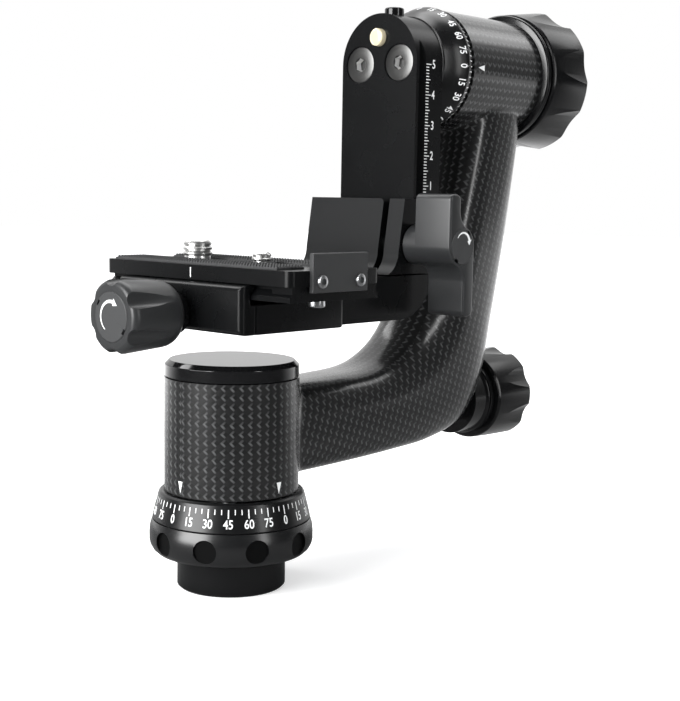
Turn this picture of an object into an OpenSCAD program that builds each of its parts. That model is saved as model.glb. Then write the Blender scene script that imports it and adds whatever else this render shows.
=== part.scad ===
// Gimbal tripod head, side-mount pattern with a one-piece carbon arm.
// Millimetres. The origin is the mouth of the tripod thread on the pan axis, +Z up.
// +X runs along the tilt axis, from the lens platform towards the tilt lock knob.
// The lens plate runs along Y, centred over the pan axis.

/* [Overall] */
// Height of the tilt axis above the tripod mount
tilt_z = 167.2; // [155:0.2:200]
// Distance from the pan axis to the front face of the swing arm
swing_x = 66.6; // [64:0.2:80]
// Height of the horizontal run of the carbon arm
arm_z = 48.7; // [47:0.1:52]
// How far the upright leans outwards from elbow to tilt hub
arm_lean = 15.8; // [10:0.1:22]
// Radial clearance of running fits
run_fit = 0.05; // [0.03:0.01:0.1]
// Radial clearance of bonded and screwed seats
seat_fit = 0.02; // [0.01:0.01:0.05]
// Free gap between parts that pass each other
free_gap = 0.4; // [0.3:0.1:0.6]

/* [Pan base] */
// Radius of the foot that stands on the tripod
foot_r = 17.2; // [15:0.1:20]
// Height of the foot below the grip ring
foot_h = 11; // [8:0.5:14]
// Radius of the tapped hole for the 3/8 inch tripod stud
tripod_hole_r = 3.97; // [3.9:0.01:4.76]
// Depth of the tripod thread
tripod_hole_depth = 12; // [8:0.5:16]
// Radius of the grip ring
grip_r = 26; // [24:0.1:28]
// Height of the grip ring
grip_h = 11; // [9:0.5:14]
// Number of round dimples in the grip ring
dimple_count = 10; // [6:1:12]
// Diameter of a grip dimple
dimple_d = 7.4; // [5:0.1:9]
// Depth of a grip dimple
dimple_depth = 1.1; // [0.6:0.1:1.6]
// Lower radius of the pan scale ring
pan_scale_low_r = 25; // [23.5:0.1:26]
// Upper radius of the pan scale ring
pan_scale_top_r = 23; // [22:0.1:24]
// Height of the pan scale ring
pan_scale_h = 9; // [7:0.5:12]
// Radius of the pan spindle
spindle_r = 8; // [6:0.1:9]

/* [Pan column] */
// Outer radius of the carbon column
column_r = 21.2; // [20:0.1:22]
// Wall of the carbon shell
shell_wall = 3; // [2.5:0.1:3.5]
// Height of the carbon column
column_h = 35.5; // [34:0.5:40]
// Height of the column cap
cap_h = 5.4; // [4:0.1:8]
// Radius of the column cap
cap_r = 21; // [19:0.1:22]
// Inner radius of the metal sleeve in the column
sleeve_bore_r = 14; // [12:0.1:15]
// Length of one plain bush
bush_len = 6; // [5:0.5:9]

/* [Carbon arm] */
// Height of the horizontal run
arm_h = 29.8; // [26:0.2:31]
// Width of the arm along Y
arm_w = 32; // [26:0.5:34]
// Squareness of the arm's section, 2 is an ellipse
arm_square = 3.1; // [2:0.1:5]
// Thickness of the upright below the hub, along X
upright_t = 32; // [26:0.5:36]
// Outer radius of the tilt hub
hub_r = 20.5; // [19:0.1:22]
// Length of the tilt hub
hub_len = 40.8; // [36:0.2:46]

/* [Lock knobs] */
// Radius of the lock screws
lock_screw_r = 4; // [3:0.5:4]
// Rim radius of the tilt lock knob
tilt_knob_r = 25.8; // [24:0.1:28]
// Inner end radius of the tilt lock knob
tilt_knob_neck_r = 23.5; // [22:0.1:24.5]
// Length of the tilt lock knob
tilt_knob_len = 19.6; // [16:0.1:22]
// Radius of the collar behind the tilt lock knob
tilt_collar_r = 22.9; // [21:0.1:24]
// Radius of the collar behind the pan lock knob
pan_collar_r = 14; // [12:0.1:14.2]
// Rim radius of the pan lock knob
pan_knob_r = 17; // [15:0.1:19]
// Inner end radius of the pan lock knob
pan_knob_neck_r = 16.2; // [14:0.1:17]
// Length of the pan lock knob
pan_knob_len = 20; // [16:0.5:24]
// Number of scallops on a lock knob
scallop_count = 7; // [5:1:10]
// Radius of the round cuts in the pan lock knob
pan_scallop_r = 8; // [5:0.5:14]
// Depth of the pan lock knob's scallops at the rim
pan_scallop_depth = 2; // [1:0.1:3]
// Length of the pan lock knob's scallops
pan_scallop_len = 13.6; // [8:0.1:15]
// Radius of the round cuts in the tilt lock knob
tilt_scallop_r = 17; // [10:0.5:24]
// Depth of the tilt lock knob's scallops at the rim
tilt_scallop_depth = 2.1; // [1:0.1:3]
// Length of the tilt lock knob's scallops
tilt_scallop_len = 18; // [10:0.1:19]

/* [Tilt spindle] */
// Radius of the tilt spindle
tilt_spindle_r = 9; // [7:0.1:10]
// Radius of the tilt spindle's flange
tilt_flange_r = 14.6; // [13:0.1:15]
// Thickness of the tilt spindle's flange
tilt_flange_t = 4; // [3:0.5:6]
// Rim radius of the tilt scale ring
tilt_scale_r = 20.9; // [20.5:0.1:22]
// Neck radius of the tilt scale ring
tilt_scale_neck_r = 16.8; // [16:0.1:18]
// Length of the tilt scale ring
tilt_scale_len = 12.3; // [9:0.1:14]

/* [Swing arm] */
// Width of the swing arm
swing_w = 33; // [30:0.5:38]
// Thickness of the swing arm
swing_t = 13.6; // [12:0.1:16]
// Length of the swing arm below the tilt axis
swing_drop = 71.2; // [66:0.2:80]
// Depth of the side grooves
groove_depth = 1.8; // [1.4:0.1:2.4]
// Distance from the front face to the side grooves
groove_front = 1.4; // [1:0.1:2]
// Distance between the two swing arm screws
swing_screw_gap = 17.2; // [15:0.1:18]
// Radius of an M6 screw
m6_r = 3; // [2.5:0.1:3]
// Radius of a countersunk M6 head
m6_head_r = 6; // [5:0.1:6.4]
// Height of the safety pin above the tilt axis
stop_pin_rise = 8.6; // [8:0.1:10]
// Radius of the safety pin
stop_pin_r = 2.9; // [2:0.1:3]
// How far the safety pin stands out
stop_pin_out = 2.2; // [1.5:0.1:3]
// Radius of the release button
button_r = 3.3; // [2.5:0.1:3.6]
// How far the release button stands out
button_out = 2.5; // [1.5:0.1:4]
// Travel of the release button
button_travel = 1.8; // [1:0.1:2]

/* [Carriage] */
// Distance from the tilt axis down to the platform, at the lowest setting
platform_drop = 69.8; // [66:0.2:76]
// Height of the carriage above the platform
carriage_h = 25; // [20:0.5:26]
// Thickness of the carriage in front of the swing arm
carriage_t = 10.6; // [9:0.1:12]
// Radius of the inside corner between carriage and platform
carriage_fillet = 8; // [5:0.5:12]
// How much thicker the carriage is at the platform than at its top
carriage_draft = 2.6; // [0:0.1:5]
// Side wall of the carriage beyond the swing arm
carriage_side = 3.2; // [3:0.1:5]
// Width of the height clamp jaw along Y
height_jaw_w = 6.4; // [5:0.1:8]
// Slit between the carriage and its jaw
height_slit = 2.6; // [2.2:0.1:4]
// Radius of the carriage's lower rear corner
carriage_corner_r = 17.5; // [6:0.5:18]

/* [Platform clamp] */
// Length of the clamp along Y
clamp_len = 56; // [48:1:70]
// Height of the clamp
clamp_h = 14.4; // [13:0.2:18]
// Width of the clamp body to the right of the pan axis
clamp_right = 21; // [20.5:0.1:24]
// Thickness of the moving jaw
jaw_t = 5.7; // [5:0.1:8]
// Distance of the clamp screw below the platform
clamp_screw_drop = 9.5; // [8.6:0.1:11]
// Face radius of the clamp knob
clamp_knob_r = 10.9; // [9:0.1:12]
// Rear radius of the clamp knob
clamp_knob_rear_r = 9.9; // [8.5:0.1:12]
// Length of the clamp knob
clamp_knob_len = 20.9; // [16:0.1:24]
// Number of flutes on the clamp knob
flute_count = 6; // [5:1:9]
// Radius of the label disc on a plastic knob
disc_r = 7.3; // [6:0.1:8]

/* [Wing knob] */
// Radius of the wing knob's hub
wing_hub_r = 6.5; // [6:0.1:8]
// Depth of the wing knob along Y
wing_depth = 14.4; // [10:0.2:18]
// Length of the neck between jaw and wing
wing_neck = 5.2; // [3:0.1:8]
// Reach of the short wing
wing_short = 16.6; // [12:0.2:20]
// Reach of the long wing
wing_long = 22.8; // [16:0.2:28]
// Thickness of a wing
wing_t = 5.4; // [4:0.1:6]
// Height of the wing knob's axis above the platform
wing_rise = 10.2; // [9:0.1:14]

/* [Lens plate] */
// Width of the lens plate
plate_w = 38; // [36:0.5:40]
// Length of the lens plate behind the pan axis
plate_rear = 38.6; // [34:0.1:60]
// Length of the lens plate in front of the pan axis
plate_front = 44; // [40:0.1:60]
// Thickness of the plate's flange
plate_t = 4.5; // [4:0.1:6]
// Depth of the dovetail below the flange
dovetail_h = 4.4; // [4:0.1:5]
// Undercut of the dovetail
dovetail_cut = 2.6; // [2:0.1:3]
// Length of the solid end block
end_block = 8; // [6:0.5:12]
// Thickness of the rubber strips
pad_t = 0.9; // [0.5:0.1:1.5]
// Width of one rubber strip
pad_w = 11; // [8:0.5:12]
// Radius of the 3/8 inch camera screw
large_screw_r = 4.76; // [4.7:0.01:4.8]
// Height of the 3/8 inch camera screw above the plate
large_screw_h = 6.4; // [4:0.1:8]
// Place of the 3/8 inch camera screw along Y
large_screw_y = 16.3; // [10:0.1:20]
// Radius of the 1/4 inch camera screw
small_screw_r = 3.17; // [3.1:0.01:3.2]
// Height of the 1/4 inch camera screw above the plate
small_screw_h = 3.8; // [3:0.1:6]
// Place of the 1/4 inch camera screw along Y
small_screw_y = -13; // [-20:0.1:-8]
// Width of the end cover
cover_w = 23; // [18:0.5:26]
// Height of the end cover
cover_h = 11.2; // [9:0.1:14]
// Thickness of the end cover
cover_t = 1.6; // [1:0.1:2.5]
// Distance between the end cover's screws
cover_screw_gap = 16; // [12:0.5:18]

/* [Hidden] */
$fn = 64;

grip_z = foot_h;
scale_z = grip_z + grip_h;
column_z = scale_z + pan_scale_h + free_gap;
column_top = column_z + column_h;
shell_bore_r = column_r - shell_wall;
foot_spigot_r = 13;
foot_spigot_h = grip_h + pan_scale_h - 2;
ring_screw_r = 1.5;
ring_head_r = 2.4;
ring_head_h = 1.8;
ring_thread_z = grip_z + 4;
ring_head_z = scale_z + pan_scale_h - 2;
spindle_z = tripod_hole_depth + 3;
spindle_top = column_top - 3;
nut_r = 12;
nut_h = 4;
bush_r = sleeve_bore_r - seat_fit;
lower_bush_z = column_z + 1;
upper_bush_z = spindle_top - nut_h - run_fit - bush_len;

swing_rear = swing_x + swing_t;
hub_x0 = swing_rear + tilt_scale_len + free_gap;
hub_x1 = hub_x0 + hub_len;
hub_bore_r = hub_r - shell_wall;
elbow_x = hub_x1 - arm_lean;
arm_top = arm_z + arm_h / 2;
arm_low = arm_z - arm_h / 2;

collar_t = 3.4;
tilt_knob_x = hub_x1 + collar_t + free_gap;
tilt_spindle_end = hub_x1 - 8;
hub_collar_x = hub_x1 - 11;
inner_bush_x = swing_rear + tilt_scale_len + run_fit;
outer_bush_end = hub_x1 - 13;
scale_bore_r = tilt_spindle_r + 3;
brake_pad_t = 3;
brake_pad_x = tilt_spindle_end + 0.1;
brake_bore_r = 13.4;
pan_collar_x = elbow_x - 11;
pan_collar_len = 13.4;
pan_collar_spigot_r = 9;
pan_spigot_x = pan_collar_x - 6;
pan_flange_x = pan_collar_x + 3;
pan_rod_end = pan_spigot_x + 3;
pan_rim_x = pan_collar_x + 9.6;
pan_knob_x = pan_collar_x + pan_collar_len + free_gap;
shoe_r = min(4.5, upper_bush_z - arm_z - free_gap, arm_z - lower_bush_z - bush_len - free_gap);
shoe_x = spindle_r + 0.1;
shoe_end = shell_bore_r - 0.1;
knob_bore_stop = 6;
tilt_knob_turn = 11;

swing_top_r = swing_w / 2;
groove_w = 2 * groove_depth;
groove_x = swing_x + groove_front + groove_depth;
carriage_x = swing_x - free_gap - carriage_t;
side_wall_x = groove_x + groove_depth;
pin_z = tilt_z + stop_pin_rise;
pin_len = stop_pin_out + 3.6;
button_x = swing_x + 7.4;
button_bore_r = button_r + run_fit;
button_base = pin_z + stop_pin_r + button_travel + free_gap;
button_bore_z = tilt_z - 3;
button_stem_r = 1.1;
screw_sink = 0.3;
screw_head_h = 3;
arc_steps = 12;
tongue_side = (groove_depth - 0.15) * sqrt(2);

plat_z = tilt_z - platform_drop;
clamp_z = plat_z - clamp_h;
carriage_top = plat_z + carriage_h;
jaw_side_y = -swing_w / 2 - carriage_side - 2.4;
left_side_y = swing_w / 2 + carriage_side;
slit_y = jaw_side_y + height_jaw_w;
wing_x = swing_x - free_gap - m6_r - 2.2;
wing_z = plat_z + wing_rise;
wing_y0 = jaw_side_y - free_gap;
wing_face_y = wing_y0 - wing_neck - wing_depth;
wing_disc_r = wing_hub_r - 0.7;
wing_screw_y = wing_face_y + 4;
wing_root_r = 6;
wing_tip_r = 2.2;
disc_seat = 1.4;
disc_proud = 0.2;

flange_z = plat_z + 0.3;
plate_top = flange_z + plate_t;
pad_z = plate_top + 0.02;
screw_thread_z = pad_z + pad_t + 0.1;
screw_neck_cut = 0.6;
dovetail_z = flange_z - dovetail_h;
clamp_floor = dovetail_z - free_gap;
dovetail_side = plate_w / 2 - 0.4;
jaw_gap = 0.3;
clamp_left = -plate_w / 2 + dovetail_cut;
jaw_out_x = clamp_left - free_gap - jaw_t;
clamp_axis_z = plat_z - clamp_screw_drop;
guide_pin_r = 2;
guide_pin_y = 18;
guide_pin_end = clamp_left + 8.8;
clamp_bolt_r = 2.5;
clamp_bolt_y = 14;
clamp_bolt_x = clamp_right - 8.8;
clamp_bolt_len = 22.6;
clamp_bolt_z = clamp_z + clamp_h / 2;
knob_x0 = jaw_out_x - free_gap;
knob_neck = 3.1;
knob_neck_r = 6.2;
flute_r = 3.2;
flute_sink = 2;
flute_len = 16;
flute_taper = (clamp_knob_r - clamp_knob_rear_r) / clamp_knob_len;
flute_tilt = atan(flute_sink / flute_len - flute_taper);
knob_face_x = knob_x0 - clamp_knob_len - knob_neck;
clamp_screw_x = knob_face_x + 5;

corner_r = 2.4;
head_pocket_h = 3.2;
large_head_r = 7.6;
small_head_r = 6;
head_h = 2.6;
head_z = dovetail_z + 0.3;
small_bolt_r = 1.2;
stop_head_r = 2.5;
stop_head_h = 1.88;
stop_screw_places = [[-4.8, -plate_front + 3.4], [4.8, plate_rear - 3.2]];
cover_face_y = -plate_front - cover_t;
cover_z = dovetail_z + 2.6;
cover_screw_z = cover_z + 3.2;
cover_head_r = 1.9;
cover_head_t = 0.9;

// A solid cylinder along +X from x0
module rod_x(r, x0, x1, y = 0, z = 0, r2 = -1) {
    translate([x0, y, z])
        rotate([0, 90, 0])
            cylinder(h = x1 - x0, r1 = r, r2 = r2 < 0 ? r : r2);
}

// A solid cylinder along +Y from y0
module rod_y(r, y0, y1, x = 0, z = 0) {
    translate([x, y0, z])
        rotate([-90, 0, 0])
            cylinder(h = y1 - y0, r = r);
}

// A tube along +Z
module tube_z(r_out, r_in, z0, z1) {
    difference() {
        translate([0, 0, z0])
            cylinder(h = z1 - z0, r = r_out);
        translate([0, 0, z0 - 1])
            cylinder(h = z1 - z0 + 2, r = r_in);
    }
}

// A tube along +X, on the tilt axis unless z says otherwise
module tube_x(r_out, r_in, x0, x1, z = tilt_z) {
    difference() {
        rod_x(r_out, x0, x1, 0, z);
        rod_x(r_in, x0 - 1, x1 + 1, 0, z);
    }
}

// A body of revolution about an X axis, outline given as [x, r] pairs
module turn_x(outline, z) {
    translate([0, 0, z])
        rotate([0, 90, 0])
            rotate_extrude()
                polygon([for (p = outline) [p[1], p[0]]]);
}

// A hexagon socket, drilled along +X from the head's face
module hex_x(across, x0, depth, y, z) {
    translate([x0, y, z])
        rotate([0, 90, 0])
            cylinder(h = depth, r = across / sqrt(3), $fn = 6);
}

// ---- Pan base ----

module tripod_foot() color("#141516")
    difference() {
        union() {
            cylinder(h = foot_h, r = foot_r);
            translate([0, 0, foot_h])
                cylinder(h = foot_spigot_h, r = foot_spigot_r);
        }
        translate([0, 0, -1])
            cylinder(h = tripod_hole_depth + 1, r = tripod_hole_r);
        translate([0, 0, spindle_z])
            cylinder(h = foot_h + foot_spigot_h, r = spindle_r + seat_fit);
    }

module grip_ring() color("#111213")
    difference() {
        rotate_extrude()
            polygon([
                [foot_spigot_r + seat_fit, grip_z],
                [grip_r - 2.6, grip_z],
                [grip_r - 0.7, grip_z + 1.6],
                [grip_r, grip_z + 4.4],
                [grip_r, grip_z + 7],
                [grip_r - 0.5, grip_z + grip_h - 1.2],
                [pan_scale_low_r + 0.2, grip_z + grip_h],
                [foot_spigot_r + seat_fit, grip_z + grip_h]
            ]);
        for (k = [0 : dimple_count - 1])
            rotate([0, 0, k * 360 / dimple_count - 115])
                rod_x(dimple_d / 2, grip_r - dimple_depth, grip_r + 2, 0, grip_z + grip_h / 2);
        ring_screw_places()
            translate([0, 0, ring_thread_z - seat_fit])
                cylinder(h = grip_h, r = ring_screw_r + seat_fit);
    }

module pan_scale_ring() color("#17181a")
    difference() {
        rotate_extrude()
            polygon([
                [foot_spigot_r + seat_fit, scale_z],
                [pan_scale_low_r, scale_z],
                [pan_scale_top_r, scale_z + pan_scale_h - 0.6],
                [pan_scale_top_r - 0.6, scale_z + pan_scale_h],
                [foot_spigot_r + seat_fit, scale_z + pan_scale_h]
            ]);
        ring_screw_places() {
            translate([0, 0, scale_z - 1])
                cylinder(h = pan_scale_h + 2, r = ring_screw_r + seat_fit);
            translate([0, 0, ring_head_z - seat_fit])
                cylinder(h = pan_scale_h, r = ring_head_r + seat_fit);
        }
    }

module ring_screw_places()
    for (k = [0 : 3])
        rotate([0, 0, 45 + 90 * k])
            translate([(foot_spigot_r + pan_scale_top_r) / 2, 0, 0])
                children();

module ring_screws() color("#8d9094")
    ring_screw_places()
        difference() {
            union() {
                translate([0, 0, ring_head_z])
                    cylinder(h = ring_head_h, r = ring_head_r);
                translate([0, 0, ring_thread_z])
                    cylinder(h = ring_head_z - ring_thread_z + 1, r = ring_screw_r);
            }
            translate([0, 0, ring_head_z + ring_head_h / 3])
                cylinder(h = ring_head_h, r = ring_head_r / 2, $fn = 6);
        }

module pan_spindle() color("#9a9da0")
    union() {
        translate([0, 0, spindle_z])
            cylinder(h = spindle_top - spindle_z, r = spindle_r);
        translate([0, 0, foot_h + foot_spigot_h])
            cylinder(h = lower_bush_z - run_fit - foot_h - foot_spigot_h, r = spindle_r + 3);
    }

module pan_spindle_nut() color("#7d8084")
    tube_z(nut_r, spindle_r + seat_fit, spindle_top - nut_h, spindle_top);

// ---- Carbon arm ----

function mix(a, b, t) = a + (b - a) * t;

// Inner and outer edge of the arm in the XZ plane, as pairs from column to hub
elbow_pair = [[elbow_x - 34.5, arm_top + 22.8], [elbow_x - 1, arm_low + 20.2]];
hub_pair = [[hub_x1 - 0.5 - upright_t, tilt_z - 20], [hub_x1 - 0.1, tilt_z - 21]];
arm_pairs = concat(
    [
        [[0, arm_top], [0, arm_low]],
        [[column_r + 1, arm_top], [column_r + 1, arm_low]],
        [[elbow_x - 78, arm_top + 0.5], [elbow_x - 74, arm_low + 0.4]],
        [[elbow_x - 62, arm_top + 1.6], [elbow_x - 51, arm_low + 1.2]],
        [[elbow_x - 51.5, arm_top + 4.9], [elbow_x - 30, arm_low + 2.5]],
        [[elbow_x - 42, arm_top + 11.8], [elbow_x - 11.6, arm_low + 7.4]],
        elbow_pair
    ],
    [for (t = [0.25, 0.5, 0.75]) mix(elbow_pair, hub_pair, t) + [[5 * t * (1 - t), 0], [3 * t * (1 - t), 0]]],
    [
        hub_pair,
        [[hub_x1 + 0.5 - upright_t, tilt_z - 7], [hub_x1 - 0.2, tilt_z - 7]]
    ]
);

function curve_at(p, i, t) =
    let (
        n = len(p) - 1,
        a = p[max(i - 1, 0)],
        b = p[i],
        c = p[min(i + 1, n)],
        d = p[min(i + 2, n)]
    )
    0.5 * (2 * b + t * (c - a) + t * t * (2 * a - 5 * b + 4 * c - d) + t * t * t * (3 * b - a - 3 * c + d));

// One ring of the arm's section between an inner and an outer edge point
function section_ring(inner, outer, half_w, cut, sides) =
    let (
        mid = (inner + outer) / 2,
        half = norm(inner - outer) / 2 - cut,
        dir = (inner - outer) / norm(inner - outer),
        power = 2 / arm_square
    )
    [
        for (k = [0 : sides - 1])
            let (
                c = cos(360 * k / sides),
                s = sin(360 * k / sides),
                u = sign(s) * pow(abs(s), power) * half
            )
            [mid[0] + dir[0] * u, sign(c) * pow(abs(c), power) * (half_w - cut), mid[1] + dir[1] * u]
    ];

// A closed sweep along the arm from pair `first` to pair `last`
module arm_sweep(first, last, cut, sides, steps) {
    rings = [
        for (i = [first : last - 1], k = [0 : steps - 1])
            section_ring(
                curve_at([for (p = arm_pairs) p[0]], i, k / steps),
                curve_at([for (p = arm_pairs) p[1]], i, k / steps),
                arm_w / 2, cut, sides
            ),
        section_ring(arm_pairs[last][0], arm_pairs[last][1], arm_w / 2, cut, sides)
    ];
    n = len(rings);
    polyhedron(
        points = [for (r = rings, p = r) p],
        faces = concat(
            [[for (k = [0 : sides - 1]) k]],
            [
                for (i = [0 : n - 2], k = [0 : sides - 1])
                    let (a = i * sides + k, b = i * sides + (k + 1) % sides)
                    [a, a + sides, b + sides],
                for (i = [0 : n - 2], k = [0 : sides - 1])
                    let (a = i * sides + k, b = i * sides + (k + 1) % sides)
                    [a, b + sides, b]
            ],
            [[for (k = [sides - 1 : -1 : 0]) (n - 1) * sides + k]]
        )
    );
}

module carbon_arm() color("#2b2d2f")
    difference() {
        union() {
            translate([0, 0, column_z])
                cylinder(h = column_h, r = column_r);
            rod_x(hub_r, hub_x0, hub_x1, 0, tilt_z);
            arm_sweep(0, len(arm_pairs) - 1, 0, 32, 3);
        }
        translate([0, 0, column_z - 1])
            cylinder(h = column_h + 2, r = shell_bore_r);
        rod_x(hub_bore_r, hub_x0 - 1, hub_x1 + 1, 0, tilt_z);
        arm_sweep(2, len(arm_pairs) - 3, shell_wall, 24, 2);
        rod_x(shoe_r + 1, 0, elbow_x + 4, 0, arm_z);
        rod_x(pan_collar_spigot_r + seat_fit, pan_spigot_x - seat_fit, elbow_x + 12, 0, arm_z);
        rod_x(pan_collar_r - 0.8 + seat_fit, pan_flange_x - seat_fit, elbow_x + 12, 0, arm_z);
        rod_x(pan_collar_r + free_gap, pan_rim_x - free_gap, elbow_x + 12, 0, arm_z);
    }

module column_sleeve() color("#3a3c3f")
    difference() {
        tube_z(shell_bore_r - seat_fit, sleeve_bore_r, column_z + 0.3, column_top - 0.3);
        rod_x(shoe_r + run_fit, 0, column_r, 0, arm_z);
    }

module pan_bushes() color("#b08d57")
    union() {
        tube_z(bush_r, spindle_r + run_fit, lower_bush_z, lower_bush_z + bush_len);
        tube_z(bush_r, spindle_r + run_fit, upper_bush_z, upper_bush_z + bush_len);
    }

module column_cap() color("#0c0d0e")
    rotate_extrude()
        polygon([
            [0, column_top + 0.05],
            [cap_r, column_top + 0.05],
            [cap_r, column_top + cap_h - 1.4],
            [cap_r - 1.4, column_top + cap_h],
            [0, column_top + cap_h]
        ]);

// ---- Pan lock ----

// A knob on an X axis; each scallop starts cut_len inside the rim and deepens towards it
module scalloped_knob(x0, len, neck_r, rim_r, z, cut_r, cut_depth, cut_len, first) {
    start_r = mix(rim_r, neck_r, cut_len / len);
    cut_tilt = atan((start_r - rim_r + cut_depth) / cut_len);
    difference() {
        turn_x([
            [x0, 0],
            [x0, neck_r - 0.8],
            [x0 + 0.8, neck_r],
            [x0 + len - 1.8, rim_r],
            [x0 + len - 0.5, rim_r - 0.6],
            [x0 + len, rim_r - 1.9],
            [x0 + len, 0]
        ], z);
        for (k = [0 : scallop_count - 1])
            translate([x0 + len, 0, z])
                rotate([360 * k / scallop_count + 90 - first, 0, 0])
                    translate([0, 0, rim_r - cut_depth + cut_r])
                        rotate([0, cut_tilt, 0])
                            translate([-1.5 * len, 0, 0])
                                rotate([0, 90, 0])
                                    cylinder(h = 2 * len, r = cut_r);
        rod_x(rim_r * 0.55, x0 + len - 1.2, x0 + len + 1, 0, z);
        rod_x(lock_screw_r + seat_fit, x0 - 1, x0 + len - knob_bore_stop, 0, z);
    }
}

module pan_lock_collar() color("#101112")
    difference() {
        turn_x([
            [pan_spigot_x, 0],
            [pan_spigot_x, pan_collar_spigot_r],
            [pan_flange_x, pan_collar_spigot_r],
            [pan_flange_x, pan_collar_r - 0.8],
            [pan_rim_x, pan_collar_r - 0.8],
            [pan_rim_x + 0.8, pan_collar_r],
            [pan_rim_x + 1.4, pan_collar_r - 0.7],
            [pan_rim_x + 2, pan_collar_r],
            [pan_collar_x + pan_collar_len, pan_collar_r],
            [pan_collar_x + pan_collar_len, 0]
        ], arm_z);
        rod_x(lock_screw_r + run_fit, pan_spigot_x - 1, pan_collar_x + pan_collar_len + 1, 0, arm_z);
    }

module pan_lock_knob() color("#121314")
    scalloped_knob(pan_knob_x, pan_knob_len, pan_knob_neck_r, pan_knob_r, arm_z,
        pan_scallop_r, pan_scallop_depth, pan_scallop_len, 180 / scallop_count);

module pan_lock_screw() color("#9a9da0")
    rod_x(lock_screw_r, pan_rod_end + run_fit,
        pan_knob_x + pan_knob_len - knob_bore_stop - seat_fit, 0, arm_z);

module pan_brake_rod() color("#a6a9ac")
    rod_x(lock_screw_r, shoe_end, pan_rod_end, 0, arm_z);

module pan_brake_shoe() color("#b5904e")
    rod_x(shoe_r, shoe_x, shoe_end, 0, arm_z);

// ---- Tilt hub and lock ----

module hub_sleeve() color("#3a3c3f")
    tube_x(hub_bore_r - seat_fit, sleeve_bore_r, hub_x0 + 0.5, hub_collar_x - 0.5);

module tilt_bushes() color("#b08d57")
    union() {
        tube_x(bush_r, tilt_spindle_r + run_fit, inner_bush_x, inner_bush_x + bush_len);
        tube_x(bush_r, tilt_spindle_r + run_fit, outer_bush_end - bush_len, outer_bush_end);
    }

module tilt_lock_collar() color("#101112")
    difference() {
        turn_x([
            [hub_collar_x, 0],
            [hub_collar_x, hub_bore_r - seat_fit],
            [hub_x1 + 0.1, hub_bore_r - seat_fit],
            [hub_x1 + 0.1, tilt_collar_r - 0.6],
            [hub_x1 + 0.6, tilt_collar_r],
            [hub_x1 + 1.3, tilt_collar_r],
            [hub_x1 + 1.7, tilt_collar_r - 0.9],
            [hub_x1 + 2.1, tilt_collar_r - 0.3],
            [hub_x1 + 2.7, tilt_collar_r - 0.3],
            [hub_x1 + 3, tilt_collar_r - 1.2],
            [hub_x1 + collar_t, tilt_collar_r - 1.2],
            [hub_x1 + collar_t, 0]
        ], tilt_z);
        rod_x(lock_screw_r + run_fit, hub_collar_x - 1, hub_x1 + collar_t + 1, 0, tilt_z);
        rod_x(brake_bore_r, hub_collar_x - 1, hub_x1 - 2.6, 0, tilt_z);
    }

module tilt_lock_knob() color("#121314")
    scalloped_knob(tilt_knob_x, tilt_knob_len, tilt_knob_neck_r, tilt_knob_r, tilt_z,
        tilt_scallop_r, tilt_scallop_depth, tilt_scallop_len, tilt_knob_turn);

module tilt_lock_screw() color("#9a9da0")
    rod_x(lock_screw_r, brake_pad_x + brake_pad_t + run_fit,
        tilt_knob_x + tilt_knob_len - knob_bore_stop - seat_fit, 0, tilt_z);

module tilt_brake_pad() color("#b5904e")
    rod_x(brake_bore_r - run_fit, brake_pad_x, brake_pad_x + brake_pad_t, 0, tilt_z);

module tilt_spindle() color("#9a9da0")
    difference() {
        union() {
            rod_x(tilt_spindle_r, swing_rear + 0.05, tilt_spindle_end, 0, tilt_z);
            rod_x(tilt_flange_r, swing_rear + 0.05, swing_rear + tilt_flange_t, 0, tilt_z);
        }
        for (s = [-1, 1])
            rod_x(m6_r + seat_fit, swing_rear - 1, swing_rear + tilt_flange_t + 1,
                s * swing_screw_gap / 2, tilt_z);
    }

module tilt_spindle_nut() color("#7d8084")
    tube_x(nut_r, tilt_spindle_r + seat_fit, outer_bush_end + run_fit, tilt_spindle_end - 0.6);

module tilt_scale_ring() color("#17181a")
    difference() {
        turn_x([
            [swing_rear + 0.05, tilt_flange_r + seat_fit],
            [swing_rear + 0.05, tilt_scale_neck_r],
            [swing_rear + 1, tilt_scale_neck_r],
            [swing_rear + 3.6, mix(tilt_scale_neck_r, tilt_scale_r, 0.4)],
            [swing_rear + 6.4, mix(tilt_scale_neck_r, tilt_scale_r, 0.76)],
            [swing_rear + tilt_scale_len - 3.4, tilt_scale_r],
            [swing_rear + tilt_scale_len - 3, tilt_scale_r],
            [swing_rear + tilt_scale_len - 0.3, tilt_scale_r - 1],
            [swing_rear + tilt_scale_len, tilt_scale_r - 1.5],
            [swing_rear + tilt_scale_len, scale_bore_r],
            [swing_rear + tilt_flange_t + 0.1, scale_bore_r],
            [swing_rear + tilt_flange_t + 0.1, tilt_flange_r + seat_fit]
        ], tilt_z);
        for (s = [-1, 1])
            rod_x(m6_r + 0.3, swing_rear, swing_rear + tilt_flange_t + 3, s * swing_screw_gap / 2, tilt_z);
    }

// ---- Swing arm ----

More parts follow.
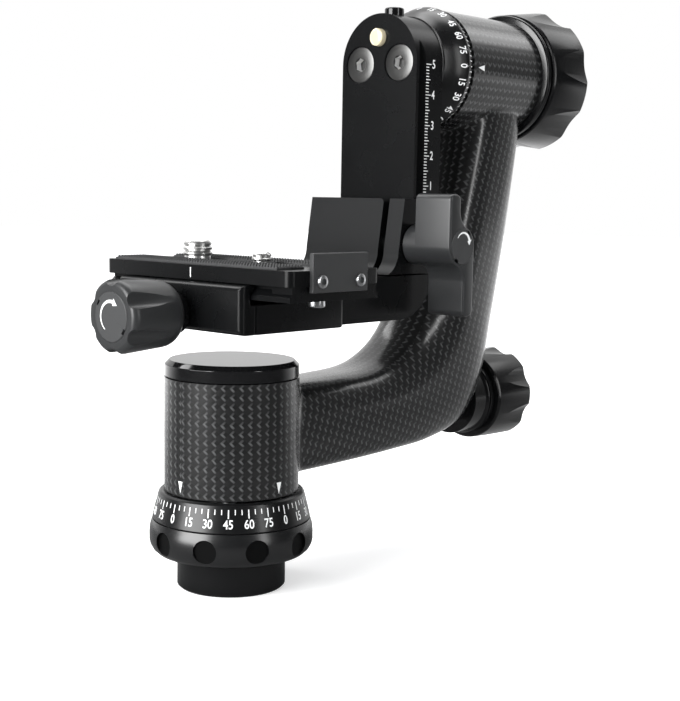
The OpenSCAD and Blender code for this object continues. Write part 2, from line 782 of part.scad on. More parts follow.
module swing_arm() color("#101113")
    difference() {
        union() {
            rod_x(swing_top_r, swing_x, swing_rear, 0, tilt_z);
            translate([swing_x, -swing_w / 2, tilt_z - swing_drop])
                cube([swing_t, swing_w, swing_drop]);
        }
        for (s = [-1, 1])
            translate([groove_x, s * swing_w / 2, tilt_z - swing_drop - 1])
                rotate([0, 0, 45])
                    translate([-groove_w / sqrt(2) / 2, -groove_w / sqrt(2) / 2, 0])
                        cube([groove_w / sqrt(2), groove_w / sqrt(2), swing_drop + swing_w]);
        for (s = [-1, 1])
            translate([0, s * swing_screw_gap / 2, 0]) {
                rod_x(m6_r + seat_fit, swing_x - 1, swing_rear + 1, 0, tilt_z);
                translate([screw_sink, 0, 0])
                    rod_x(m6_head_r + 0.2, swing_x, swing_x + screw_head_h + 0.2, 0, tilt_z, m6_r + 0.2);
                rod_x(m6_head_r + 0.2, swing_x - 1, swing_x + screw_sink, 0, tilt_z);
            }
        rod_x(stop_pin_r + run_fit, swing_x - 1, button_x, 0, pin_z);
        translate([button_x, 0, button_bore_z])
            cylinder(h = swing_w, r = button_bore_r);
    }

module swing_arm_screws() color("#b4b7ba")
    for (s = [-1, 1])
        translate([swing_x + screw_sink, s * swing_screw_gap / 2, 0])
            difference() {
                union() {
                    rod_x(m6_head_r, 0, screw_head_h, 0, tilt_z, m6_r);
                    rod_x(m6_r, screw_head_h, swing_t + tilt_flange_t - screw_sink, 0, tilt_z);
                }
                hex_x(4, -1, 3.2, 0, tilt_z);
            }

module safety_pin() color("#d8c48f")
    union() {
        rod_x(stop_pin_r - 0.5, swing_x - stop_pin_out, swing_x - stop_pin_out + 0.5, 0, pin_z, stop_pin_r);
        rod_x(stop_pin_r, swing_x - stop_pin_out + 0.5, swing_x - stop_pin_out + pin_len, 0, pin_z);
    }

module release_button() color("#0a0b0c")
    union() {
        translate([button_x, 0, button_base])
            cylinder(h = tilt_z + swing_top_r + button_out - 0.6 - button_base, r = button_r);
        translate([button_x, 0, tilt_z + swing_top_r + button_out - 0.6])
            cylinder(h = 0.6, r1 = button_r, r2 = button_r - 0.6);
        translate([button_x, 0, button_bore_z + button_travel + free_gap])
            cylinder(h = button_base - button_bore_z - button_travel, r = button_stem_r);
    }

module button_spring() color("#b9bcc0")
    translate([button_x, 0, 0])
        tube_z(button_r - 0.3, button_stem_r + 0.5, button_bore_z + run_fit, pin_z - stop_pin_r - free_gap);

// ---- Carriage ----

// Points of an arc in the XZ plane
function arc(x, z, r, from, to) = [
    for (k = [0 : arc_steps])
        let (a = mix(from, to, k / arc_steps))
        [x + r * cos(a), z + r * sin(a)]
];

// Side outline of the carriage in the XZ plane
module carriage_outline() {
    foot_x = carriage_x - carriage_draft;
    polygon(concat(
        [[clamp_right, plat_z], [clamp_right, clamp_z]],
        arc(side_wall_x - carriage_corner_r, clamp_z + carriage_corner_r, carriage_corner_r, -90, 0),
        [[side_wall_x, carriage_top], [carriage_x, carriage_top]],
        arc(foot_x - carriage_fillet, plat_z + carriage_fillet, carriage_fillet, 0, -90)
    ));
}

// An XZ outline as a plate between two Y values
module plate_y(y0, y1)
    translate([0, y1, 0])
        rotate([90, 0, 0])
            linear_extrude(height = y1 - y0)
                children();

// The room that the swing arm takes, with the tongues left standing
module swing_channel(y_low, y_high) {
    difference() {
        translate([swing_x - free_gap, y_low, clamp_z - 1])
            cube([swing_t, y_high - y_low, clamp_h + carriage_h + 2]);
        for (s = [-1, 1])
            translate([groove_x, s * (swing_w / 2 + 0.2), clamp_z - 2])
                rotate([0, 0, 45])
                    translate([-tongue_side / 2, -tongue_side / 2, 0])
                        cube([tongue_side, tongue_side, clamp_h + carriage_h + 4]);
    }
}

module carriage() color("#121416")
    difference() {
        plate_y(jaw_side_y, left_side_y)
            carriage_outline();
        swing_channel(-swing_w / 2 - 0.2, swing_w / 2 + 0.2);
        translate([clamp_right + 8, jaw_side_y - 1, plat_z])
            cube([side_wall_x, height_jaw_w + height_slit + 1, carriage_h + 1]);
        translate([carriage_x + 4, -swing_w / 2 - 1, plat_z])
            cube([side_wall_x, 5, carriage_h + 1]);
        rod_y(m6_r + run_fit, slit_y, 12, wing_x, wing_z);
        for (s = [-1, 1])
            rod_x(clamp_bolt_r + seat_fit, clamp_right - 1, clamp_bolt_x + clamp_bolt_len + seat_fit,
                s * clamp_bolt_y, clamp_bolt_z);
    }

module height_jaw() color("#121416")
    difference() {
        intersection() {
            plate_y(jaw_side_y, slit_y)
                carriage_outline();
            translate([clamp_right + 12, jaw_side_y - 1, plat_z + 0.5])
                cube([side_wall_x, height_jaw_w + 2, carriage_h]);
        }
        swing_channel(-swing_w / 2 - 0.2, slit_y + 1);
        rod_y(m6_r + 0.3, jaw_side_y - 1, slit_y + 1, wing_x, wing_z);
    }

module wing_screw() color("#9a9da0")
    rod_y(m6_r, wing_screw_y, 10, wing_x, wing_z);

// One blade of the wing in the XZ plane: hub, inner curve, rounded tip and outer side
function blade(len) =
    let (
        side = wing_t - wing_hub_r,
        root_x = side + wing_root_r,
        root_z = sqrt(pow(wing_hub_r + wing_root_r, 2) - pow(root_x, 2)),
        root_a = atan2(root_z, root_x)
    )
    concat(
        arc(0, 0, wing_hub_r, 0, root_a),
        arc(root_x, root_z, wing_root_r, 180 + root_a, 180),
        arc(side - wing_tip_r, len - wing_tip_r, wing_tip_r, 0, 90),
        arc(wing_tip_r - wing_hub_r, len - wing_tip_r, wing_tip_r, 90, 180)
    );

// The wing's S-shaped outline, centred on its hub
module wing_outline()
    polygon(concat(blade(wing_short), [for (p = blade(wing_long)) -p]));

module wing_knob() color("#35373a")
    difference() {
        union() {
            translate([wing_x, 0, wing_z])
                plate_y(wing_face_y, wing_face_y + wing_depth)
                    wing_outline();
            rod_y(wing_hub_r, wing_face_y + wing_depth - 0.5, wing_y0, wing_x, wing_z);
        }
        rod_y(m6_r + seat_fit, wing_screw_y - seat_fit, wing_y0 + 1, wing_x, wing_z);
        rod_y(wing_disc_r + seat_fit, wing_face_y - 1, wing_face_y + disc_seat, wing_x, wing_z);
    }

module wing_knob_disc() color("#3f4245")
    rod_y(wing_disc_r, wing_face_y - disc_proud, wing_face_y + disc_seat - seat_fit, wing_x, wing_z);

// ---- Platform clamp ----

// The dovetail below the flange, as an XZ outline grown by `grow`
module dovetail_outline(grow) {
    neck = plate_w / 2 - dovetail_cut;
    side_h = dovetail_z + 1.4;
    neck_z = side_h + 1.9;
    polygon([
        [-dovetail_side - grow, dovetail_z - 5 * grow],
        [dovetail_side + grow, dovetail_z - 5 * grow],
        [dovetail_side + grow, side_h + grow / 2],
        [neck + grow, neck_z + grow / 2],
        [neck + grow, flange_z + 10 * grow],
        [-neck - grow, flange_z + 10 * grow],
        [-neck - grow, neck_z + grow / 2],
        [-dovetail_side - grow, side_h + grow / 2]
    ]);
}

module clamp_body() color("#0f1012")
    difference() {
        translate([clamp_left, -clamp_len / 2, clamp_z])
            cube([clamp_right - clamp_left - 0.05, clamp_len, plat_z - clamp_z]);
        plate_y(-clamp_len / 2 - 1, clamp_len / 2 + 1)
            dovetail_outline(jaw_gap);
        translate([clamp_left - 1, -clamp_len / 2 - 1, clamp_floor])
            cube([plate_w / 2, clamp_len + 2, 10]);
        rod_x(m6_r + run_fit, clamp_left - 1, 12, 0, clamp_axis_z);
        for (s = [-1, 1])
            rod_x(guide_pin_r + seat_fit, clamp_left - 1, guide_pin_end + seat_fit,
                s * guide_pin_y, clamp_axis_z);
        for (s = [-1, 1])
            rod_x(clamp_bolt_r + seat_fit, clamp_bolt_x - seat_fit, clamp_right + 1,
                s * clamp_bolt_y, clamp_bolt_z);
    }

module clamp_body_screws() color("#8d9094")
    for (s = [-1, 1])
        rod_x(clamp_bolt_r, clamp_bolt_x, clamp_bolt_x + clamp_bolt_len, s * clamp_bolt_y, clamp_bolt_z);

module clamp_guide_pins() color("#a6a9ac")
    for (s = [-1, 1])
        rod_x(guide_pin_r, jaw_out_x + 1.8, guide_pin_end, s * guide_pin_y, clamp_axis_z);

module clamp_jaw() color("#0f1012")
    difference() {
        translate([jaw_out_x, -clamp_len / 2, clamp_z])
            cube([jaw_t, clamp_len, plat_z - clamp_z]);
        plate_y(-clamp_len / 2 - 1, clamp_len / 2 + 1)
            dovetail_outline(jaw_gap);
        rod_x(m6_r + 0.3, jaw_out_x - 1, clamp_left + 1, 0, clamp_axis_z);
        for (s = [-1, 1])
            rod_x(guide_pin_r + run_fit, jaw_out_x + 1.3, clamp_left + 1, s * guide_pin_y, clamp_axis_z);
    }

module clamp_screw() color("#9a9da0")
    rod_x(m6_r, clamp_screw_x, 9, 0, clamp_axis_z);

module clamp_knob() color("#35373a")
    difference() {
        turn_x([
            [knob_x0, 0],
            [knob_x0, knob_neck_r],
            [knob_x0 - knob_neck, knob_neck_r],
            [knob_x0 - knob_neck - 0.4, clamp_knob_rear_r - 2],
            [knob_x0 - knob_neck - 1.8, clamp_knob_rear_r - 0.7],
            [knob_x0 - knob_neck - 4.2, clamp_knob_rear_r],
            [knob_face_x + 2, clamp_knob_r],
            [knob_face_x + 0.6, clamp_knob_r - 0.6],
            [knob_face_x, clamp_knob_r - 1.7],
            [knob_face_x, 0]
        ], clamp_axis_z);
        for (k = [0 : flute_count - 1])
            translate([knob_face_x, 0, clamp_axis_z])
                rotate([360 * k / flute_count, 0, 0])
                    translate([0, 0, clamp_knob_r - flute_sink + flute_r])
                        rotate([0, -flute_tilt, 0])
                            translate([-2, 0, 0])
                                rotate([0, 90, 0])
                                    cylinder(h = clamp_knob_len + 1, r = flute_r);
        rod_x(m6_r + seat_fit, clamp_screw_x - seat_fit, knob_x0 + 1, 0, clamp_axis_z);
        rod_x(disc_r + seat_fit, knob_face_x - 1, knob_face_x + disc_seat, 0, clamp_axis_z);
    }

module clamp_knob_disc() color("#3f4245")
    rod_x(disc_r, knob_face_x - disc_proud, knob_face_x + disc_seat - seat_fit, 0, clamp_axis_z);

// ---- Lens plate ----

module lens_plate() color("#0d0e10")
    difference() {
        union() {
            hull()
                for (x = [-1, 1], y = [-plate_front + corner_r, plate_rear - corner_r])
                    translate([x * (plate_w / 2 - corner_r), y, flange_z])
                        cylinder(h = plate_t, r = corner_r, $fn = 32);
            plate_y(-plate_front + 0.6, plate_rear - 1)
                intersection() {
                    dovetail_outline(0);
                    translate([-plate_w, dovetail_z])
                        square([2 * plate_w, dovetail_h + 1]);
                }
            translate([-plate_w / 2 + 1.4, -plate_front + 0.6, dovetail_z])
                cube([plate_w - 2.8, end_block, dovetail_h + 1]);
        }
        translate([0, large_screw_y, dovetail_z - 1])
            cylinder(h = plate_t + dovetail_h + 2, r = large_screw_r + run_fit);
        translate([0, large_screw_y, dovetail_z - 1])
            cylinder(h = head_pocket_h + 1, r = large_head_r + free_gap);
        translate([0, small_screw_y, dovetail_z - 1])
            cylinder(h = plate_t + dovetail_h + 2, r = small_screw_r + run_fit);
        translate([0, small_screw_y, dovetail_z - 1])
            cylinder(h = head_pocket_h + 1, r = small_head_r + free_gap);
        for (p = stop_screw_places)
            translate([p[0], p[1], dovetail_z - 1])
                cylinder(h = 5, r = small_bolt_r + seat_fit);
        for (s = [-1, 1])
            rod_y(small_bolt_r + seat_fit, -plate_front - 1, -plate_front + 5,
                s * cover_screw_gap / 2, cover_screw_z);
    }

module plate_pads() color("#1b1c1e")
    for (s = [-1, 1])
        translate([s * (plate_w / 2 - 1.6 - pad_w / 2) - pad_w / 2, -plate_front + 7, pad_z])
            cube([pad_w, plate_front + plate_rear - 10, pad_t]);

module end_cover() color("#3c3f42")
    difference() {
        translate([-cover_w / 2, cover_face_y, cover_z])
            cube([cover_w, cover_t - 0.05, cover_h]);
        for (s = [-1, 1])
            rod_y(small_bolt_r + seat_fit, cover_face_y - 1, -plate_front + 1,
                s * cover_screw_gap / 2, cover_screw_z);
    }

module end_cover_screws() color("#c3c6c9")
    for (s = [-1, 1])
        difference() {
            union() {
                rod_y(cover_head_r, cover_face_y - cover_head_t, cover_face_y - 0.02,
                    s * cover_screw_gap / 2, cover_screw_z);
                rod_y(small_bolt_r, cover_face_y - 0.1, -plate_front + 4.6,
                    s * cover_screw_gap / 2, cover_screw_z);
            }
            translate([s * cover_screw_gap / 2, cover_face_y - cover_head_t - 1, cover_screw_z])
                rotate([-90, 0, 0])
                    cylinder(h = 1.7, r = 1, $fn = 6);
        }

module plate_stop_screws() color("#c3c6c9")
    for (p = stop_screw_places)
        translate([p[0], p[1], 0]) {
            translate([0, 0, dovetail_z - 0.02 - stop_head_h])
                cylinder(h = stop_head_h, r = stop_head_r);
            translate([0, 0, dovetail_z - 0.1])
                cylinder(h = 3.6, r = small_bolt_r);
        }

// A captive camera screw: head in the plate's pocket, plain neck, then the threaded end
module camera_screw(r, head_r, rise) {
    chamfer = r / 6;
    top = plate_top + rise;
    rotate_extrude()
        polygon([
            [0, head_z],
            [head_r, head_z],
            [head_r, head_z + head_h],
            [r - screw_neck_cut, head_z + head_h],
            [r - screw_neck_cut, screw_thread_z],
            [r, screw_thread_z],
            [r, top - chamfer],
            [r - chamfer, top],
            [0, top]
        ]);
}

module camera_screw_large() color("#c9ccd0")
    translate([0, large_screw_y, 0])
        camera_screw(large_screw_r, large_head_r, large_screw_h);

module camera_screw_small() color("#c9ccd0")
    translate([0, small_screw_y, 0])
        camera_screw(small_screw_r, small_head_r, small_screw_h);

tripod_foot();
grip_ring();
pan_scale_ring();
pan_spindle();
pan_spindle_nut();
ring_screws();
carbon_arm();
column_sleeve();
pan_bushes();
column_cap();
pan_lock_collar();
pan_lock_knob();
pan_lock_screw();
pan_brake_rod();
pan_brake_shoe();
hub_sleeve();
tilt_bushes();
tilt_lock_collar();
tilt_lock_knob();
tilt_lock_screw();
tilt_brake_pad();
tilt_spindle();
tilt_spindle_nut();
tilt_scale_ring();
swing_arm();
swing_arm_screws();
safety_pin();
release_button();
button_spring();
carriage();
height_jaw();
wing_knob();
wing_knob_disc();
wing_screw();
clamp_body();
clamp_body_screws();
clamp_guide_pins();
clamp_jaw();
clamp_knob();
clamp_knob_disc();
clamp_screw();
lens_plate();
plate_pads();
end_cover();
end_cover_screws();
plate_stop_screws();
camera_screw_large();
camera_screw_small();
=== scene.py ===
import bpy
import bmesh
import math
from mathutils import Matrix, Vector


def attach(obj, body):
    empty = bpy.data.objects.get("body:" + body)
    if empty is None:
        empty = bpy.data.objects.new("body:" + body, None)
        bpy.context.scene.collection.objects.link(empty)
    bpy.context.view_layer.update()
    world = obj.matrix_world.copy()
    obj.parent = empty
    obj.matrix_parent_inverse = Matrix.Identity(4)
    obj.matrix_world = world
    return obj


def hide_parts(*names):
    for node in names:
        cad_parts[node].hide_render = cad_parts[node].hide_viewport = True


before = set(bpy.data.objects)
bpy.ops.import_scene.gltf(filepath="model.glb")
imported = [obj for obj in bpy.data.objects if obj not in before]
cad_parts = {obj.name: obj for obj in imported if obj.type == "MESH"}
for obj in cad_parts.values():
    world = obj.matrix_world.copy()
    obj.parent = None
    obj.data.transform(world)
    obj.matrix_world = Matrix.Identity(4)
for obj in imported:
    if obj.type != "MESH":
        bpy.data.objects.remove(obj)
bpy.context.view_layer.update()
scene = bpy.context.scene
mm = 0.001
tau = 2 * math.pi

# lines that several pieces share, in millimetres
head = {
    "tiltZ": 167.2, "armZ": 48.7, "platZ": 97.4, "clampZ": 83.0, "swingX": 66.6, "swingRear": 80.2,
    "hubX": 92.9, "hubEnd": 133.7, "columnZ": 31.4, "columnTop": 66.9, "columnR": 21.2, "hubR": 20.5,
}
tiltAxis = (0, 0, head["tiltZ"])
lockAxis = (0, 0, head["armZ"])


def addNode(tree, kind, inputs=None, **values):
    # an input is given as a plain value or as another node's output
    node = tree.nodes.new(kind if kind.startswith("NodeGroup") else "ShaderNode" + kind)
    for key, value in values.items():
        setattr(node, key, value)
    for key, value in (inputs or {}).items():
        feed(tree, node.inputs[key], value)
    return node


def feed(tree, socket, value):
    if isinstance(value, bpy.types.NodeSocket):
        tree.links.new(value, socket)
    else:
        socket.default_value = value


def maths(tree, operation, *values):
    return addNode(tree, "Math", dict(enumerate(values)), operation=operation).outputs[0]


def times(tree, *values):
    total = values[0]
    for value in values[1:]:
        total = maths(tree, "MULTIPLY", total, value)
    return total


def mapped(tree, value, low, high, fromLow=0.0, fromHigh=1.0, curve="LINEAR"):
    inputs = {"Value": value, "From Min": fromLow, "From Max": fromHigh, "To Min": low, "To Max": high}
    return addNode(tree, "MapRange", inputs, interpolation_type=curve).outputs[0]


def noiseAt(tree, vector, scale, detail=2.0):
    return addNode(tree, "TexNoise", {"Vector": vector, "Scale": scale, "Detail": detail})


def mixed(tree, share, first, second):
    return addNode(tree, "Mix", {0: share, 6: first, 7: second}, data_type="RGBA").outputs[2]


def newGroup(name, inputs, outputs):
    tree = bpy.data.node_groups.new(name, "ShaderNodeTree")
    for label, kind, default in inputs:
        socket = tree.interface.new_socket(label, in_out="INPUT", socket_type="NodeSocket" + kind)
        if default is not None:
            socket.default_value = default
    for label, kind in outputs:
        tree.interface.new_socket(label, in_out="OUTPUT", socket_type="NodeSocket" + kind)
    return tree, addNode(tree, "NodeGroupInput").outputs


def makeGrainGroup():
    # fine grain of an anodised, moulded or blasted surface
    tree, given = newGroup("surface grain", [
        ("Vector", "Vector", None), ("Size", "Float", 0.4), ("Base", "Color", (0.02, 0.02, 0.02, 1)),
        ("Variation", "Float", 0.2), ("Roughness", "Float", 0.35), ("Roughness spread", "Float", 0.06),
    ], [("Color", "Color"), ("Roughness", "Float"), ("Height", "Float")])
    fine = noiseAt(tree, given["Vector"], maths(tree, "DIVIDE", 1000.0, given["Size"])).outputs["Fac"]
    broad = noiseAt(tree, given["Vector"], 45.0, 5.0).outputs["Fac"]
    both = maths(tree, "ADD", times(tree, fine, 0.6), times(tree, broad, 0.4))
    centred = maths(tree, "SUBTRACT", both, 0.5)
    value = maths(tree, "ADD", times(tree, centred, 2.0, given["Variation"]), 1.0)
    tint = addNode(tree, "VectorMath", {0: given["Base"], "Scale": value}, operation="SCALE")
    spread = times(tree, maths(tree, "SUBTRACT", broad, 0.5), given["Roughness spread"], 2.0)
    rough = maths(tree, "ADD", spread, given["Roughness"])
    addNode(tree, "NodeGroupOutput", {"Color": tint.outputs[0], "Roughness": rough, "Height": fine})
    return tree


def makeWeaveGroup():
    # plain weave laid at 45 degrees: which tow is on top, how high it stands, and its tone, which holds
    # painted highlights of the tows
    tree, given = newGroup("cloth weave", [
        ("Vector", "Vector", None), ("Tow", "Float", 2.0), ("Light", "Color", (0.1, 0.1, 0.1, 1)),
        ("Dark", "Color", (0.03, 0.03, 0.03, 1)), ("Weft share", "Float", 0.4),
    ], [("Color", "Color"), ("Height", "Float"), ("Gloss", "Float")])
    wobble = noiseAt(tree, given["Vector"], 0.22, 1.0).outputs["Color"]
    shift = addNode(tree, "VectorMath", {0: wobble, 1: (0.7, 0.7, 0), 2: given["Vector"]},
                    operation="MULTIPLY_ADD").outputs[0]
    across, along = addNode(tree, "SeparateXYZ", {0: shift}).outputs[:2]
    step = times(tree, given["Tow"], math.sqrt(2.0))
    p = maths(tree, "DIVIDE", maths(tree, "ADD", across, along), step)
    q = maths(tree, "DIVIDE", maths(tree, "SUBTRACT", across, along), step)
    cell = maths(tree, "ADD", maths(tree, "FLOOR", p), maths(tree, "FLOOR", q))
    warpTop = maths(tree, "LESS_THAN", maths(tree, "FLOORED_MODULO", cell, 2.0), 0.5)
    weftTop = maths(tree, "SUBTRACT", 1.0, warpTop)

    def pick(a, b):
        return maths(tree, "ADD", times(tree, a, warpTop), times(tree, b, weftTop))

    def dome(value, power):
        arch = maths(tree, "SINE", times(tree, value, math.pi))
        return maths(tree, "POWER", maths(tree, "ABSOLUTE", arch), power)

    def band(value):
        # 1 along one flank of a cell, where a painted highlight goes, 0 elsewhere
        gap = maths(tree, "ABSOLUTE", maths(tree, "SUBTRACT", value, 0.2))
        return mapped(tree, gap, 1.0, 0.0, 0.06, 0.24, "SMOOTHSTEP")

    pCell, qCell = maths(tree, "FRACT", p), maths(tree, "FRACT", q)
    height = times(tree, dome(pick(qCell, pCell), 0.8), dome(pick(pCell, qCell), 0.5))
    lines = {0: times(tree, pick(p, q), 16.0), 1: times(tree, pick(q, p), 1.2)}
    fibre = noiseAt(tree, addNode(tree, "CombineXYZ", lines).outputs[0], 1.0).outputs["Fac"]
    patches = noiseAt(tree, given["Vector"], 0.12).outputs["Fac"]
    weft = times(tree, given["Weft share"], maths(tree, "ADD", patches, 0.5))
    # painted highlight: a light dash is painted along the lit flank of each warp-top tow, with a weaker
    # rising one across it, for the glint of the fibres; weft-top cells are painted a touch lighter along
    # their fibres, also painted light
    down = times(tree, band(pCell), dome(qCell, 0.5))
    rise = times(tree, band(qCell), dome(pCell, 0.5), weft)
    paintedGlint = times(tree, maths(tree, "MAXIMUM", down, rise), warpTop)
    shade = times(tree, fibre, weftTop, 0.07)
    tone = maths(tree, "ADD", shade, times(tree, paintedGlint, maths(tree, "ADD", fibre, 0.35)))
    color = mixed(tree, tone, given["Dark"], given["Light"])
    height = maths(tree, "ADD", height, times(tree, fibre, 0.1))
    addNode(tree, "NodeGroupOutput", {"Color": color, "Height": height, "Gloss": tone})
    return tree


grainGroup = makeGrainGroup()
weaveGroup = makeWeaveGroup()
print("shader groups ready")


def blankMaterial(name):
    material = bpy.data.materials.new(name)
    material.use_nodes = True
    tree = material.node_tree
    tree.nodes.clear()
    shader = addNode(tree, "BsdfPrincipled")
    addNode(tree, "OutputMaterial", {0: shader.outputs[0]})
    return material, tree, shader


def setShader(tree, shader, height, bump, depth, inputs):
    # depth in metres is how far a full bump stands out
    raised = addNode(tree, "Bump", {"Strength": bump, "Distance": depth, "Height": height})
    for key, value in {**inputs, "Normal": raised.outputs[0]}.items():
        feed(tree, shader.inputs[key], value)


def grained(name, base, roughness, grain=0.4, variation=0.15, bump=0.05, metallic=0.0, specular=0.5):
    material, tree, shader = blankMaterial(name)
    coords = addNode(tree, "TexCoord").outputs["Object"]
    made = addNode(tree, "Group", {
        "Vector": coords, "Size": grain, "Base": (*base, 1), "Variation": variation,
        "Roughness": roughness, "Roughness spread": 0.05,
    }, node_tree=grainGroup).outputs
    setShader(tree, shader, made["Height"], bump, 0.0001, {
        "Base Color": made["Color"], "Roughness": made["Roughness"],
        "Metallic": metallic, "Specular IOR Level": specular,
    })
    return material


def turnedMetal(name, tone, axis, centre, pitch=0.2, roughness=0.3):
    # rings left by the lathe, around an axis through the piece
    material, tree, shader = blankMaterial(name)
    coords = addNode(tree, "TexCoord").outputs["Object"]
    middle = tuple(-c * mm for c in centre)
    placed = addNode(tree, "Mapping", {"Vector": coords, "Location": middle}).outputs[0]
    split = addNode(tree, "SeparateXYZ", {0: placed}).outputs
    squares = [times(tree, split[n], split[n]) for n in "XYZ" if n != axis]
    radius = maths(tree, "SQRT", maths(tree, "ADD", *squares))
    lines = {n: maths(tree, "DIVIDE", value, pitch * mm) for n, value in enumerate((radius, split[axis]))}
    rings = noiseAt(tree, addNode(tree, "CombineXYZ", lines).outputs[0], 1.0, 3.0).outputs["Fac"]
    setShader(tree, shader, rings, 0.08, 0.00005, {
        "Base Color": mixed(tree, rings, (*[c * 0.86 for c in tone], 1), (*tone, 1)),
        "Roughness": mapped(tree, rings, roughness * 0.7, roughness * 1.4), "Metallic": 1.0,
    })
    return material


def carbonMaterial():
    material, tree, shader = blankMaterial("carbon cloth")
    # Light is the tone of the painted highlights on the tows' lit flanks, Dark the cloth between them
    weave = addNode(tree, "Group", {
        "Vector": addNode(tree, "UVMap", uv_map="weave").outputs[0], "Tow": 1.95,
        "Light": (0.082, 0.084, 0.085, 1), "Dark": (0.0045, 0.0047, 0.0049, 1), "Weft share": 0.5,
    }, node_tree=weaveGroup).outputs
    setShader(tree, shader, weave["Height"], 0.3, 0.0002, {
        "Base Color": weave["Color"], "Roughness": mapped(tree, weave["Gloss"], 0.5, 0.34),
        "Specular IOR Level": 0.2, "Coat Weight": 1.0, "Coat Roughness": 0.17, "Coat IOR": 1.48,
    })
    return material


finish = {
    "satinBlack": grained("satin black anodised", (0.0034, 0.0036, 0.0039), 0.27, bump=0.03, specular=0.2),
    "glossBlack": grained("gloss black anodised", (0.0045, 0.0047, 0.0050), 0.2, 0.6, bump=0.015,
                          specular=0.36),
    "capBlack": grained("cap black", (0.006, 0.0062, 0.0066), 0.075, bump=0.006, specular=0.6),
    "knobBlack": grained("knob black", (0.0040, 0.0042, 0.0045), 0.2, 0.5, bump=0.02, specular=0.32),
    "grooveBlack": grained("collar black", (0.0050, 0.0052, 0.0056), 0.16, bump=0.015, specular=0.6),
    "buttonBlack": grained("button black", (0.0040, 0.0042, 0.0045), 0.12, bump=0.01),
    "polished": grained("polished pin", (0.90, 0.80, 0.56), 0.14, 0.3, 0.04, 0.01, 0.4),
    "gripBlack": grained("grip ring black", (0.0065, 0.0068, 0.0072), 0.26, 0.5, bump=0.02, specular=0.7),
    # painted shade: the dimple floors are painted darker than the grip ring, for the shade in those pockets
    "dimpleShadePaint": grained("dimple painted shade", (0.0018, 0.0019, 0.0020), 0.35, bump=0.01, specular=0.12),
    # painted light: the upright's wall that faces the lens is painted lighter than the satin black, for the
    # light that face catches
    "lensWallLitPaint": grained("lens wall painted light", (0.0085, 0.0089, 0.0094), 0.4, 0.3, specular=0.22),
    # painted highlight: the socket walls are painted pale grey, standing in for glints inside the dark steel
    # socket
    "socket": grained("hexagon socket", (0.75, 0.75, 0.74), 0.3, bump=0.02, metallic=0.1),
    "scaleBlack": grained("scale ring black", (0.0050, 0.0052, 0.0055), 0.28, bump=0.03, specular=0.45),
    "greyPlastic": grained("grey moulded plastic", (0.0205, 0.0213, 0.0222), 0.36, 0.35, 0.08, 0.08),
    "discPlastic": grained("disc plastic", (0.031, 0.032, 0.033), 0.5, 0.5, 0.1, 0.15),
    "coverGrey": grained("end cover grey", (0.029, 0.0298, 0.0308), 0.42, 0.3, 0.06, 0.06),
    "rubber": grained("pad rubber", (0.034, 0.0345, 0.0355), 0.5, 0.5, 0.2, 0.2),
    "ink": grained("white filling", (0.80, 0.81, 0.81), 0.55, 0.2, 0.06, 0.1),
    "steel": grained("plain steel", (0.62, 0.63, 0.64), 0.3, metallic=1.0, bump=0.04),
    "bush": grained("bush brass", (0.62, 0.48, 0.26), 0.36, metallic=1.0, bump=0.04),
    "carbon": carbonMaterial(),
}
print("materials ready")


def radiusAt(profile, x):
    for (x0, r0), (x1, r1) in zip(profile, profile[1:]):
        if x0 <= x <= x1:
            return r0 + (r1 - r0) * (x - x0) / (x1 - x0)
    return profile[-1][1]


def closeHoles(bm):
    rim = [e for e in bm.edges if len(e.link_faces) == 1]
    if rim:
        bmesh.ops.holes_fill(bm, edges=rim, sides=0)
    bmesh.ops.recalc_face_normals(bm, faces=bm.faces)


def shifted(bm, x, y, z=0):
    bmesh.ops.translate(bm, vec=(x, y, z), verts=bm.verts)
    return bm


def spun(bm, angle, axis):
    bmesh.ops.rotate(bm, cent=(0, 0, 0), matrix=Matrix.Rotation(angle, 3, axis), verts=bm.verts)
    return bm


def moved(bm, axis, centre=(0, 0, 0)):
    # takes a shape made along Z to an axis through centre
    turns = {"Z": Matrix.Identity(3), "X": Matrix.Rotation(math.pi / 2, 3, "Y"),
             "Y": Matrix.Rotation(-math.pi / 2, 3, "X")}
    carry = Matrix.Translation(centre) @ turns[axis].to_4x4()
    bmesh.ops.transform(bm, matrix=carry, verts=bm.verts)
    return bm


def lathe(profile, turns=128, axis="Z", centre=(0, 0, 0)):
    # profile holds (distance along the axis, radius) pairs
    bm = bmesh.new()
    verts = [bm.verts.new((r, 0, z)) for z, r in profile]
    edges = [bm.edges.new(pair) for pair in zip(verts, verts[1:])]
    bmesh.ops.spin(bm, geom=verts + edges, cent=(0, 0, 0), axis=(0, 0, 1), angle=tau, steps=turns,
                   use_merge=True, use_duplicate=False)
    bmesh.ops.remove_doubles(bm, verts=bm.verts, dist=1e-4)
    closeHoles(bm)
    return moved(bm, axis, centre)


def steps(x, r, *offsets):
    # profile points given from a place along the axis and a radius
    return [(x + dx, r + dr) for dx, dr in offsets]


def ringed(profile, turns=128, axis="Z", centre=(0, 0, 0)):
    # a lathe shape with a bore: its profile closes on itself
    return lathe(profile + profile[:1], turns, axis, centre)


def plate(outline, axis, low, high):
    # an outline given in the two other axes, in X Y Z order, pushed from low to high along axis
    k = "XYZ".index(axis)
    bm = bmesh.new()
    face = bm.faces.new([bm.verts.new([*p[:k], low, *p[k:]]) for p in outline])
    out = bmesh.ops.extrude_face_region(bm, geom=[face])
    push = [high - low if n == k else 0 for n in range(3)]
    bmesh.ops.translate(bm, vec=push, verts=[g for g in out["geom"] if isinstance(g, bmesh.types.BMVert)])
    bmesh.ops.recalc_face_normals(bm, faces=bm.faces)
    return bm


